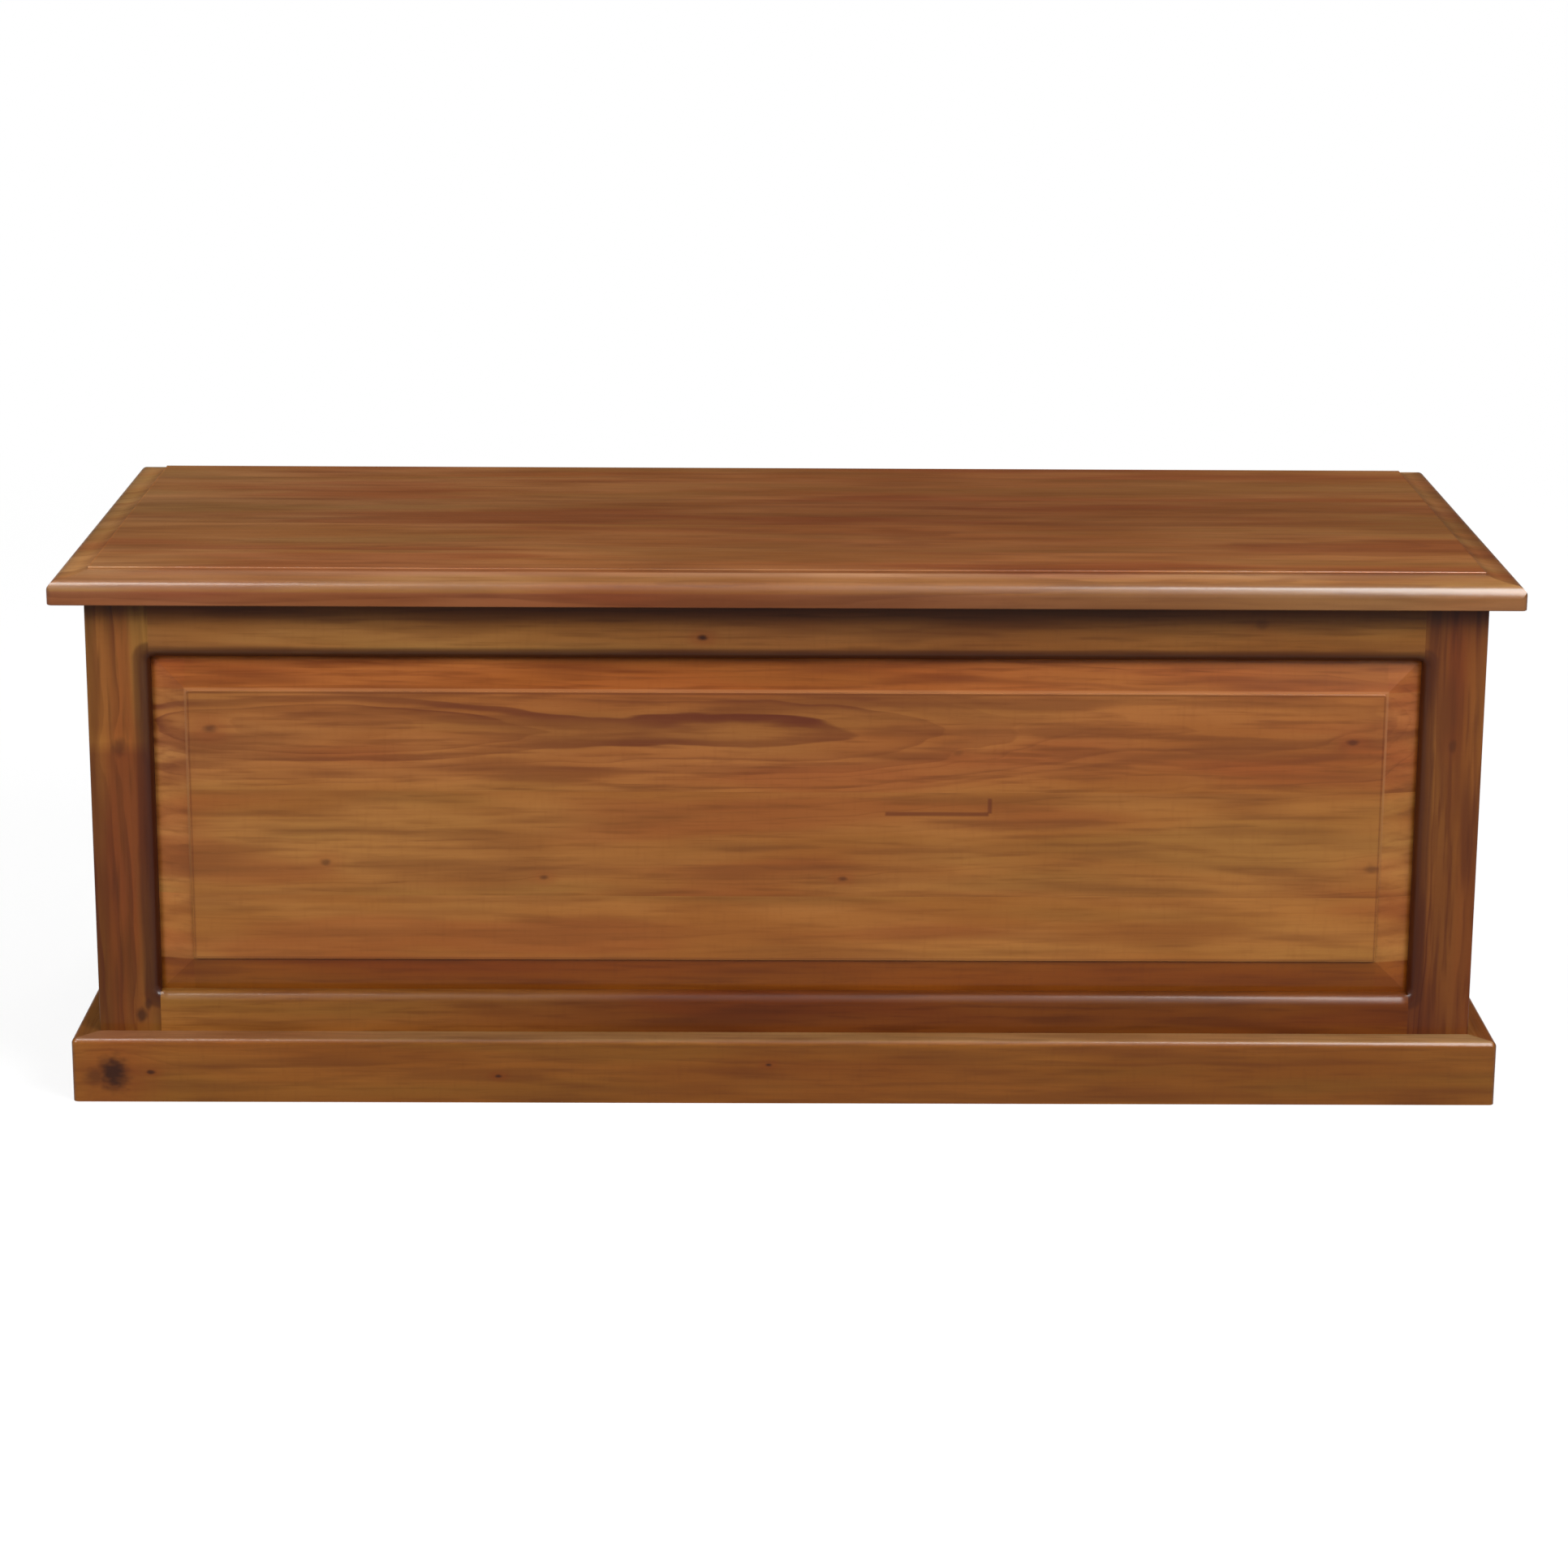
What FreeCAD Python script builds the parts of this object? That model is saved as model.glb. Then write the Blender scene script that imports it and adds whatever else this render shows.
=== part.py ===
import FreeCAD
import Part
import math
import os

V = FreeCAD.Vector

# A low blanket chest of framed and panelled hardwood on a plinth, with a hinged moulded lid.
# +Z is up, the front faces -Y, and the origin is on the floor under the middle of the lid. Millimetres.

# Carcass
carcass_width = 1206.0
carcass_depth = 446.0
rim_height = 447.5

# Corner posts
post_width = 54.0
post_depth = 46.0
post_arris = 1.5

# Rails between the posts
rail_thickness = 24.0
top_rail_height = 51.0
bottom_rail_height = 75.0
bottom_rail_base = 18.0
tenon_thickness = 8.0
tenon_length = 25.0
tenon_shoulder = 12.0
mortise_slack = 1.0
rim_arris = 1.0

# Round-over routed round the panel openings of the front and the ends
frame_round = 10.0
router_bearing_radius = 6.0

# Panels held in grooves
panel_recess = 13.0
tongue_thickness = 6.0
tongue_depth = 8.0
groove_slack = 1.0
groove_play = 0.1
bevel_width = 30.0
field_recess = 5.0
field_step = 2.0
field_corner_radius = 3.0
field_arris = 0.7

# Plinth boards planted round the foot
plinth_height = 58.0
plinth_thickness = 22.0
plinth_round = 5.0

# Floor of the chest
floor_base = 50.0
floor_thickness = 9.0
floor_play = 1.0
cleat_width = 20.0
cleat_height = 20.0
bearer_width = 45.0

# Lid
lid_overhang = 27.0
lid_gap = 1.5
nose_face = 11.0
nose_radius = 10.0
cove_run = 21.0
cove_rise = 3.9
step_rise = 2.1
step_arris = 0.7
lid_corner_radius = 5.0
lid_arris = 1.0

# Battens under the lid
batten_width = 60.0
batten_thickness = 18.0
batten_spacing = 620.0
batten_end_gap = 12.0
batten_arris = 3.0
batten_screw_pitch = 140.0

# Felt bumpers on the front posts
bumper_radius = 6.0

# Butt hinges
hinge_spacing = 430.0
hinge_count = 3
hinge_length = 76.0
hinge_leaf_width = 26.0
hinge_leaf_thickness = 2.0
knuckle_radius = 3.75
knuckle_count = 5
knuckle_gap = 0.3
hinge_pin_radius = 1.75
hinge_pin_head_radius = 2.9
hinge_pin_head_length = 1.6
hinge_set_back = 5.0
hinge_screw_inset = 25.0
running_clearance = 0.05
swing_clearance = 0.4
mortise_play = 0.2

# Folding stays: the arms and the two pivot offsets make a parallelogram about the hinge pin
stay_post_pivot_forward = 42.0
stay_post_pivot_down = 110.0
stay_lid_pivot_forward = 190.0
stay_lid_pivot_down = 12.0
stay_arm_width = 14.0
stay_metal = 2.0
stay_gap = 0.3
stay_stud_radius = 3.0
stay_head_radius = 5.2
stay_head_thickness = 1.2
stay_elbow_clearance = 0.3
stay_post_plate_height = 58.0
stay_post_plate_width = 16.0
stay_lid_plate_length = 44.0
stay_lid_plate_width = 20.0

# Countersunk wood screws
screw_shank_radius = 1.6
screw_head_radius = 3.2
screw_head_depth = 1.7
screw_tip_length = 3.0
screw_slot_width = 0.8
screw_slot_depth = 0.7
screw_clearance = 0.05
hinge_screw_length = 18.0
stay_screw_length = 14.0
batten_screw_length = 32.0
cleat_screw_length = 34.0
cleat_screw_pitch = 250.0

# Places worked out from the dimensions above
half_width = carcass_width / 2
half_depth = carcass_depth / 2
opening_low = bottom_rail_base + bottom_rail_height
opening_high = rim_height - top_rail_height
front_opening = carcass_width - 2 * post_width
side_opening = carcass_depth - 2 * post_depth
tenon_set = (rail_thickness - tenon_thickness) / 2
groove_depth = tongue_depth + groove_slack
lid_underside = rim_height + lid_gap
lid_thickness = nose_face + nose_radius + cove_rise + step_rise
lid_width = carcass_width + 2 * lid_overhang
lid_depth = carcass_depth + 2 * lid_overhang
floor_top = floor_base + floor_thickness
pin_y = half_depth + hinge_set_back
pin_z = rim_height + lid_gap / 2
stay_face = half_width - post_width
reach = 5.0


def block(x0, x1, y0, y1, z0, z1):
    """A box between two corners."""
    return Part.makeBox(x1 - x0, y1 - y0, z1 - z0, V(x0, y0, z0))


def rod(x0, x1, y, z, radius):
    """A round bar along X."""
    return Part.makeCylinder(radius, x1 - x0, V(x0, y, z), V(1, 0, 0))


def prism_up(points, z0, z1):
    """A prism that stands on a plan outline."""
    outline = [V(x, y, z0) for x, y in points]
    face = Part.Face(Part.makePolygon(outline + outline[:1]))
    return face.extrude(V(0, 0, z1 - z0))


def edges_along(shape, test):
    """The edges of a shape whose whole length passes a test on its points."""
    found = []
    for edge in shape.Edges:
        first, last = edge.FirstParameter, edge.LastParameter
        points = [edge.valueAt(first + (last - first) * share) for share in (0.0, 0.5, 1.0)]
        if all(test(point) for point in points):
            found.append(edge)
    return found


def edges_front_to_back(shape):
    """The straight edges of a shape that run along Y."""
    return [edge for edge in shape.Edges if near(abs(edge.tangentAt(edge.FirstParameter).y), 1)]


def near(a, b):
    return abs(a - b) < 1e-6


def one_solid(shape):
    """The cleaned single solid of a boolean result."""
    return shape.removeSplitter().Solids[0]


def mirrored(shape):
    """The same piece for the left hand."""
    return shape.mirror(V(0, 0, 0), V(1, 0, 0))


def on_side(shape, side):
    """Moves a piece drawn with its outer face at y 0, facing -Y, to one side of the carcass."""
    turn = {"front": 0, "right": 90, "rear": 180, "left": -90}[side]
    out = {"front": (0, -half_depth), "right": (half_width, 0), "rear": (0, half_depth), "left": (-half_width, 0)}
    placed = shape.copy()
    placed.rotate(V(0, 0, 0), V(0, 0, 1), turn)
    placed.translate(V(out[side][0], out[side][1], 0))
    return placed


def screw(length, clearance=0.0):
    """A countersunk screw pointing down from z 0; with a clearance it is the hole for one."""
    shank_radius = screw_shank_radius + clearance
    head = Part.makeCone(shank_radius, screw_head_radius + clearance, screw_head_depth, V(0, 0, -screw_head_depth))
    if clearance:
        shank = Part.makeCylinder(shank_radius, length + clearance, V(0, 0, -length - clearance))
        return head.fuse(shank).removeSplitter()
    shank = Part.makeCylinder(shank_radius, length - screw_tip_length, V(0, 0, screw_tip_length - length))
    tip = Part.makeCone(screw_shank_radius / 8, shank_radius, screw_tip_length, V(0, 0, -length))
    slot = block(-screw_head_radius, screw_head_radius, -screw_slot_width / 2, screw_slot_width / 2,
                 -screw_slot_depth, screw_slot_depth)
    return one_solid(head.fuse([shank, tip]).cut(slot))


def screw_at(place, direction, length, clearance=0.0):
    """A screw with its head at a place, driven along a direction."""
    made = screw(length, clearance)
    made.Placement = FreeCAD.Placement(V(*place), FreeCAD.Rotation(V(0, 0, -1), V(*direction)))
    return made


def drilled(shape, places, direction, length):
    """A shape with the holes for a set of screws."""
    return shape.cut([screw_at(place, direction, length, screw_clearance) for place in places])


# Frame members


def opening_relief(width):
    """What the router takes off the face of a frame round a panel opening, drawn at the outer face y 0."""
    margin = frame_round + reach
    hole = block(-width / 2, width / 2, -reach, margin + reach, opening_low, opening_high)
    hole = hole.makeFillet(router_bearing_radius, edges_front_to_back(hole))
    ring = block(-width / 2 - margin, width / 2 + margin, 0, margin, opening_low - margin, opening_high + margin)
    ring = ring.cut(hole)
    lip = edges_along(ring, lambda p: near(p.y, 0) and abs(p.x) < width / 2 + margin / 2
                      and opening_low - margin / 2 < p.z < opening_high + margin / 2)
    ring = ring.makeFillet(frame_round, lip)
    inside = margin - reach / 2
    plug = block(-width / 2 - inside, width / 2 + inside, -1, frame_round + 1, opening_low - inside,
                 opening_high + inside)
    return plug.cut(ring)


def mortise(side_width, z0, z1):
    """The slot that a rail's right-hand tenon enters, drawn at the outer face y 0."""
    return block(side_width / 2, side_width / 2 + tenon_length + mortise_slack, tenon_set,
                 tenon_set + tenon_thickness, z0 + tenon_shoulder, z1 - tenon_shoulder)


def post_groove(side_width):
    """The groove in a post for the right-hand edge of a panel, drawn at the outer face y 0."""
    return block(side_width / 2, side_width / 2 + groove_depth, panel_recess - groove_play,
                 panel_recess + tongue_thickness + groove_play, opening_low - groove_depth,
                 opening_high + groove_depth)


def post_cuts(side, side_width):
    """Both rails' mortises and the panel groove on each end of one side."""
    cuts = [mortise(side_width, bottom_rail_base, opening_low), mortise(side_width, opening_high, rim_height),
            post_groove(side_width)]
    return [on_side(cut, side) for cut in cuts + [mirrored(cut) for cut in cuts]]


def make_post(x_sign, y_sign, reliefs):
    """A corner post with its outer corner softened, grooved and mortised on its two inner faces."""
    x0, x1 = sorted((x_sign * half_width, x_sign * (half_width - post_width)))
    y0, y1 = sorted((y_sign * half_depth, y_sign * (half_depth - post_depth)))
    post = block(x0, x1, y0, y1, 0, rim_height)
    corner = edges_along(post, lambda p: near(p.x, x_sign * half_width) and near(p.y, y_sign * half_depth))
    post = post.makeFillet(post_arris, corner)
    face = "front" if y_sign < 0 else "rear"
    end = "right" if x_sign > 0 else "left"
    cuts = post_cuts(face, front_opening) + post_cuts(end, side_opening)
    cuts.append(on_side(reliefs["side"], end))
    if face == "front":
        cuts.append(on_side(reliefs["front"], face))
    return one_solid(post.cut(cuts))


def make_rail(length, z0, z1, relief):
    """A rail with a tenon at each end and a groove on the edge that meets the panel, outer face at y 0."""
    rail = block(-length / 2, length / 2, 0, rail_thickness, z0, z1)
    top = z1 > opening_high
    soft = edges_along(rail, lambda p: near(p.z, z1) and near(p.y, rail_thickness))
    if top:
        rail = rail.makeFillet(rim_arris, soft)
    tenons = block(-length / 2 - tenon_length, length / 2 + tenon_length, tenon_set, tenon_set + tenon_thickness,
                   z0 + tenon_shoulder, z1 - tenon_shoulder)
    groove_low = opening_high if top else opening_low - groove_depth
    groove = block(-length, length, panel_recess - groove_play, panel_recess + tongue_thickness + groove_play,
                   groove_low, groove_low + groove_depth)
    rail = rail.fuse(tenons).cut(groove)
    if relief is not None:
        rail = rail.cut(relief)
    return one_solid(rail)


def make_rails(reliefs):
    """The top and bottom rail of each side."""
    rails = {}
    for side, length, relief in (("front", front_opening, reliefs["front"]), ("rear", front_opening, None),
                                 ("left", side_opening, reliefs["side"]), ("right", side_opening, reliefs["side"])):
        rails["rail_%s_top" % side] = on_side(make_rail(length, opening_high, rim_height, relief), side)
        rails["rail_%s_bottom" % side] = on_side(make_rail(length, bottom_rail_base, opening_low, relief), side)
    return rails


# Panels


def outline_at(width, y, inset):
    """A panel's outline at a depth, drawn in by an inset all round."""
    x, low, high = width / 2 - inset, opening_low + inset, opening_high - inset
    return Part.makePolygon([V(-x, y, low), V(x, y, low), V(x, y, high), V(-x, y, high), V(-x, y, low)])


def make_flat_panel(width):
    """A plain sheet with its edges in the grooves, outer face drawn at y 0 side."""
    return block(-width / 2 - tongue_depth, width / 2 + tongue_depth, panel_recess, panel_recess + tongue_thickness,
                 opening_low - tongue_depth, opening_high + tongue_depth)


def make_raised_panel(width):
    """A panel whose wide bevel rises from the groove to a stepped flat field."""
    foot = field_recess + field_step
    bevel = Part.makeLoft([outline_at(width, panel_recess, 0), outline_at(width, foot, bevel_width)], True, True)
    x = width / 2 - bevel_width
    field = block(-x, x, field_recess, panel_recess, opening_low + bevel_width, opening_high - bevel_width)
    field = field.makeFillet(field_corner_radius, edges_front_to_back(field))
    field = field.makeFillet(field_arris, edges_along(field, lambda p: near(p.y, field_recess)))
    return one_solid(make_flat_panel(width).fuse([bevel, field]))


def make_panels():
    return {
        "panel_front": on_side(make_raised_panel(front_opening), "front"),
        "panel_left": on_side(make_raised_panel(side_opening), "left"),
        "panel_right": on_side(make_raised_panel(side_opening), "right"),
        "panel_rear": on_side(make_flat_panel(front_opening), "rear"),
    }


# Plinth and floor


def make_plinth():
    """Four mitred boards round the foot of the carcass, their outer top edge rounded."""
    x, y = half_width + plinth_thickness, half_depth + plinth_thickness
    ring = block(-x, x, -y, y, 0, plinth_height)
    ring = ring.makeFillet(plinth_round, edges_along(ring, lambda p: near(abs(p.x), x) and near(abs(p.y), y))
                           + edges_along(ring, lambda p: near(p.z, plinth_height)))
    ring = ring.cut(block(-half_width, half_width, -half_depth, half_depth, -reach, plinth_height + reach))
    boards = {}
    for side, half_length, half_inner in (("front", x, half_width), ("rear", x, half_width),
                                          ("left", y, half_depth), ("right", y, half_depth)):
        outer, inner = half_length + reach, half_inner - reach
        wedge = prism_up([(-outer, -plinth_thickness - reach), (outer, -plinth_thickness - reach), (inner, reach),
                          (-inner, reach)], -reach, plinth_height + reach)
        boards["plinth_%s" % side] = one_solid(ring.common(on_side(wedge, side)))
    return boards


def cleat_screw_places(length):
    """Places along a cleat, on its inner face at half height, drawn with the carcass face at y 0."""
    count = max(2, int(length // cleat_screw_pitch) + 1)
    step = (length - cleat_screw_pitch / 2) / (count - 1)
    first = -(count - 1) * step / 2
    return [(first + step * i, rail_thickness + cleat_width, floor_base - cleat_height / 2) for i in range(count)]


def make_cleats():
    """A square strip under each edge of the floor, screwed to the bottom rail, and the screws."""
    cleats, screws, holes = {}, [], {}
    for side, length in (("front", front_opening), ("rear", front_opening), ("left", side_opening),
                         ("right", side_opening)):
        cleat = block(-length / 2, length / 2, rail_thickness, rail_thickness + cleat_width,
                      floor_base - cleat_height, floor_base)
        places = cleat_screw_places(length)
        cleats["floor_cleat_%s" % side] = on_side(one_solid(drilled(cleat, places, (0, -1, 0), cleat_screw_length)),
                                                  side)
        screws += [on_side(screw_at(place, (0, -1, 0), cleat_screw_length), side) for place in places]
        holes[side] = [on_side(screw_at(place, (0, -1, 0), cleat_screw_length, screw_clearance), side)
                       for place in places]
    return cleats, screws, holes


def make_floor():
    """The floor board, notched round the posts, and the bearer under its middle."""
    x, y = half_width - rail_thickness - floor_play, half_depth - rail_thickness - floor_play
    board = block(-x, x, -y, y, floor_base, floor_top)
    notch_x, notch_y = half_width - post_width - floor_play, half_depth - post_depth - floor_play
    for x_sign in (-1, 1):
        for y_sign in (-1, 1):
            x0, x1 = sorted((x_sign * notch_x, x_sign * half_width))
            y0, y1 = sorted((y_sign * notch_y, y_sign * half_depth))
            board = board.cut(block(x0, x1, y0, y1, 0, rim_height))
    inner = half_depth - rail_thickness - cleat_width
    bearer = block(-bearer_width / 2, bearer_width / 2, -inner, inner, floor_base - cleat_height, floor_base)
    return {"floor_board": one_solid(board), "floor_bearer": bearer}


# Lid


def mould_cutter(length):
    """What the cutter takes off one edge of the lid above its moulding: edge at y 0, lid towards +Y."""
    nose_top = nose_face + nose_radius
    step_foot = nose_top + cove_rise
    run = nose_radius + cove_run
    swing = 2 * math.atan2(cove_rise, cove_run)
    cove_radius = cove_run / math.sin(swing)
    diagonal = nose_radius * (1 - math.sqrt(0.5))
    half = swing / 2
    nose_middle = V(0, diagonal, nose_top - diagonal)
    cove_middle = V(0, nose_radius + cove_radius * math.sin(half), nose_top + cove_radius * (1 - math.cos(half)))
    arris_middle = V(0, run + step_arris * (1 - math.sqrt(0.5)), lid_thickness - step_arris * (1 - math.sqrt(0.5)))
    start, nose_end, foot = V(0, 0, nose_face), V(0, nose_radius, nose_top), V(0, run, step_foot)
    riser_end = V(0, run, lid_thickness - step_arris)
    field_start = V(0, run + step_arris, lid_thickness)
    above, outside = lid_thickness + reach, -reach
    edges = [
        Part.Arc(start, nose_middle, nose_end).toShape(),
        Part.Arc(nose_end, cove_middle, foot).toShape(),
        Part.LineSegment(foot, riser_end).toShape(),
        Part.Arc(riser_end, arris_middle, field_start).toShape(),
        Part.LineSegment(field_start, V(0, run + step_arris, above)).toShape(),
        Part.LineSegment(V(0, run + step_arris, above), V(0, outside, above)).toShape(),
        Part.LineSegment(V(0, outside, above), V(0, outside, nose_face)).toShape(),
        Part.LineSegment(V(0, outside, nose_face), start).toShape(),
    ]
    section = Part.Face(Part.Wire(edges))
    section.translate(V(-length / 2 - reach, 0, lid_underside))
    return section.extrude(V(length + 2 * reach, 0, 0))


def hinge_middles():
    """The middle of each hinge along X."""
    return [hinge_spacing * (i - (hinge_count - 1) / 2) for i in range(hinge_count)]


def lid_hinge_pocket(middle):
    """The mortise under the lid for a hinge leaf and its knuckle."""
    half = hinge_length / 2 + mortise_play
    clear = knuckle_radius + swing_clearance
    leaf = block(middle - half, middle + half, pin_y - hinge_leaf_width - mortise_play, pin_y, lid_underside - 1,
                 lid_underside + hinge_leaf_thickness)
    half += hinge_pin_head_length + swing_clearance
    knuckle = block(middle - half, middle + half, pin_y - clear, pin_y + clear, lid_underside - 1, pin_z + clear)
    return leaf.fuse(knuckle)


def batten_places():
    """The middle of each batten along X."""
    return [-batten_spacing / 2, batten_spacing / 2]


def batten_screw_places(middle):
    """Two rows of screws under a batten, close to its long edges."""
    return [(middle + batten_width / 4 * side, batten_screw_pitch * row, lid_underside - batten_thickness)
            for side in (-1, 1) for row in (-1, 1)]


def make_battens():
    """Two cross battens that keep the lid flat."""
    half = half_depth - rail_thickness - batten_end_gap
    battens, screws = {}, []
    for name, middle in zip(("left", "right"), batten_places()):
        batten = block(middle - batten_width / 2, middle + batten_width / 2, -half, half,
                       lid_underside - batten_thickness, lid_underside)
        low = edges_along(batten, lambda p: near(p.z, lid_underside - batten_thickness))
        batten = batten.makeChamfer(batten_arris, low)
        places = batten_screw_places(middle)
        battens["lid_batten_%s" % name] = one_solid(drilled(batten, places, (0, 0, 1), batten_screw_length))
        screws += [screw_at(place, (0, 0, 1), batten_screw_length) for place in places]
    return battens, screws


def make_lid_board():
    """The lid board, moulded on all four edges, with its hinge pockets and screw holes."""
    x, y = lid_width / 2, lid_depth / 2
    board = block(-x, x, -y, y, lid_underside, lid_underside + lid_thickness)
    board = board.makeFillet(lid_corner_radius, edges_along(board, lambda p: near(abs(p.x), x) and near(abs(p.y), y)))
    board = board.makeFillet(lid_arris, edges_along(board, lambda p: near(p.z, lid_underside)))
    for length, out, turn in ((lid_width, y, 0), (lid_depth, x, 90), (lid_width, y, 180), (lid_depth, x, 270)):
        cutter = mould_cutter(length)
        cutter.translate(V(0, -out, 0))
        cutter.rotate(V(0, 0, 0), V(0, 0, 1), turn)
        board = board.cut(cutter)
    board = board.cut([lid_hinge_pocket(middle) for middle in hinge_middles()])
    for middle in batten_places():
        board = drilled(board, batten_screw_places(middle), (0, 0, 1), batten_screw_length)
    board = drilled(board, hinge_screw_places(lid_underside), (0, 0, 1), hinge_screw_length)
    board = drilled(board, stay_lid_screw_places(), (0, 0, 1), stay_screw_length)
    return one_solid(board)


# Hinges


def hinge_screw_places(z):
    """Three screws in each leaf, the middle one nearer the pin."""
    row = pin_y - (hinge_leaf_width + hinge_set_back) / 2
    stagger = hinge_leaf_width / 8
    return [(middle + hinge_screw_inset * i, row + (stagger if i == 0 else -stagger), z)
            for middle in hinge_middles() for i in (-1, 0, 1)]


def knuckle_spans(middle, leaf):
    """The stretches of pin held by one leaf: the carcass leaf has the outer ones."""
    pitch = (hinge_length + knuckle_gap) / knuckle_count
    start = middle - hinge_length / 2
    first = 0 if leaf == "carcass" else 1
    return [(start + pitch * i, start + pitch * (i + 1) - knuckle_gap) for i in range(first, knuckle_count, 2)]


def make_hinge_leaf(middle, leaf):
    """A leaf with its knuckles, let in flush with the wood it is screwed to."""
    half = hinge_length / 2
    level = lid_gap / 2
    z0, z1 = (pin_z - level - hinge_leaf_thickness, pin_z - level)
    if leaf == "lid":
        z0, z1 = (pin_z + level, pin_z + level + hinge_leaf_thickness)
    plate = block(middle - half, middle + half, pin_y - hinge_leaf_width, pin_y - hinge_pin_radius, z0, z1)
    other = "lid" if leaf == "carcass" else "carcass"
    clear = knuckle_radius + swing_clearance
    notches = [block(a - knuckle_gap, b + knuckle_gap, pin_y - clear, pin_y + clear, z0 - 1, z1 + 1)
               for a, b in knuckle_spans(middle, other)]
    plate = plate.cut(notches)
    knuckles = [rod(a, b, pin_y, pin_z, knuckle_radius) for a, b in knuckle_spans(middle, leaf)]
    solid = plate.fuse(knuckles)
    bore = rod(middle - half - reach, middle + half + reach, pin_y, pin_z, hinge_pin_radius + running_clearance)
    solid = solid.cut(bore)
    places = [p for p in hinge_screw_places(z1 if leaf == "carcass" else z0) if abs(p[0] - middle) < half]
    direction = (0, 0, -1) if leaf == "carcass" else (0, 0, 1)
    return one_solid(drilled(solid, places, direction, hinge_screw_length))


def make_hinge_pin(middle):
    """A pin with a low button at each end."""
    half = hinge_length / 2
    pin = rod(middle - half - running_clearance, middle + half + running_clearance, pin_y, pin_z, hinge_pin_radius)
    heads = []
    for sign in (-1, 1):
        near_end = middle + sign * (half + running_clearance)
        x0, x1 = sorted((near_end, near_end + sign * hinge_pin_head_length))
        head = rod(x0, x1, pin_y, pin_z, hinge_pin_head_radius)
        rim = edges_along(head, lambda p: near(p.x, near_end + sign * hinge_pin_head_length))
        heads.append(head.makeFillet(hinge_pin_head_length / 2, rim))
    return one_solid(pin.fuse(heads))


def make_hinges():
    """Leaves, pins and screws of every hinge."""
    names = ["left", "middle", "right"] if hinge_count == 3 else [str(i + 1) for i in range(hinge_count)]
    hinges = {}
    for name, middle in zip(names, hinge_middles()):
        hinges["hinge_leaf_carcass_%s" % name] = make_hinge_leaf(middle, "carcass")
        hinges["hinge_leaf_lid_%s" % name] = make_hinge_leaf(middle, "lid")
        hinges["hinge_pin_%s" % name] = make_hinge_pin(middle)
    lower = [screw_at(place, (0, 0, -1), hinge_screw_length) for place in hinge_screw_places(rim_height)]
    upper = [screw_at(place, (0, 0, 1), hinge_screw_length) for place in hinge_screw_places(lid_underside)]
    return hinges, lower, upper


def fit_hinges_to_rail(rail):
    """The rear top rail with a mortise and screw holes for each carcass leaf."""
    half = hinge_length / 2 + mortise_play
    seats = [block(middle - half, middle + half, pin_y - hinge_leaf_width - mortise_play, half_depth + 1,
                   rim_height - hinge_leaf_thickness, rim_height + 1) for middle in hinge_middles()]
    rail = drilled(rail.cut(seats), hinge_screw_places(rim_height), (0, 0, -1), hinge_screw_length)
    return one_solid(rail)


# Folding stays, drawn for the right-hand side and mirrored for the left


def stay_points():
    """The post pivot, lid pivot and elbow with the lid shut, as (y, z)."""
    post = (pin_y - stay_post_pivot_forward, pin_z - stay_post_pivot_down)
    lid = (pin_y - stay_lid_pivot_forward, pin_z - stay_lid_pivot_down)
    elbow = (post[0] + lid[0] - pin_y, post[1] + lid[1] - pin_z)
    return post, lid, elbow


def stay_rod(a, b, point, radius):
    """A round part of a stay between two distances in from the post's inner face."""
    return rod(stay_face - b, stay_face - a, point[0], point[1], radius)


def stay_arm(a, b, start, end, start_hole, end_hole):
    """A flat bar with round ends and a hole at each."""
    half = stay_arm_width / 2
    length = math.hypot(end[0] - start[0], end[1] - start[1])
    angle = math.degrees(math.atan2(end[1] - start[1], end[0] - start[0]))
    bar = block(-b, -a, 0, length, -half, half)
    bar.rotate(V(0, 0, 0), V(1, 0, 0), angle)
    bar.translate(V(stay_face, start[0], start[1]))
    ends = [stay_rod(a, b, start, half), stay_rod(a, b, end, half)]
    holes = [stay_rod(a - 1, b + 1, start, start_hole), stay_rod(a - 1, b + 1, end, end_hole)]
    return one_solid(bar.fuse(ends).cut(holes))


def stay_post_screw_places():
    """Two screws in the plate on the rear post."""
    post = stay_points()[0]
    face = stay_face - stay_metal
    top = post[1] + stay_post_plate_height - stay_post_plate_width / 2
    return [(face, post[0], top - stay_post_plate_width), (face, post[0], top - 2 * stay_post_plate_width)]


def stay_lid_screw_places():
    """Two screws in the lid bracket of each stay."""
    lid = stay_points()[1]
    x = stay_face - 2 * stay_metal - stay_gap - stay_lid_plate_width * 0.6
    return [(sign * x, lid[0] + along * stay_lid_plate_length / 3, lid_underside - stay_metal)
            for sign in (-1, 1) for along in (-1, 1)]


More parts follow.
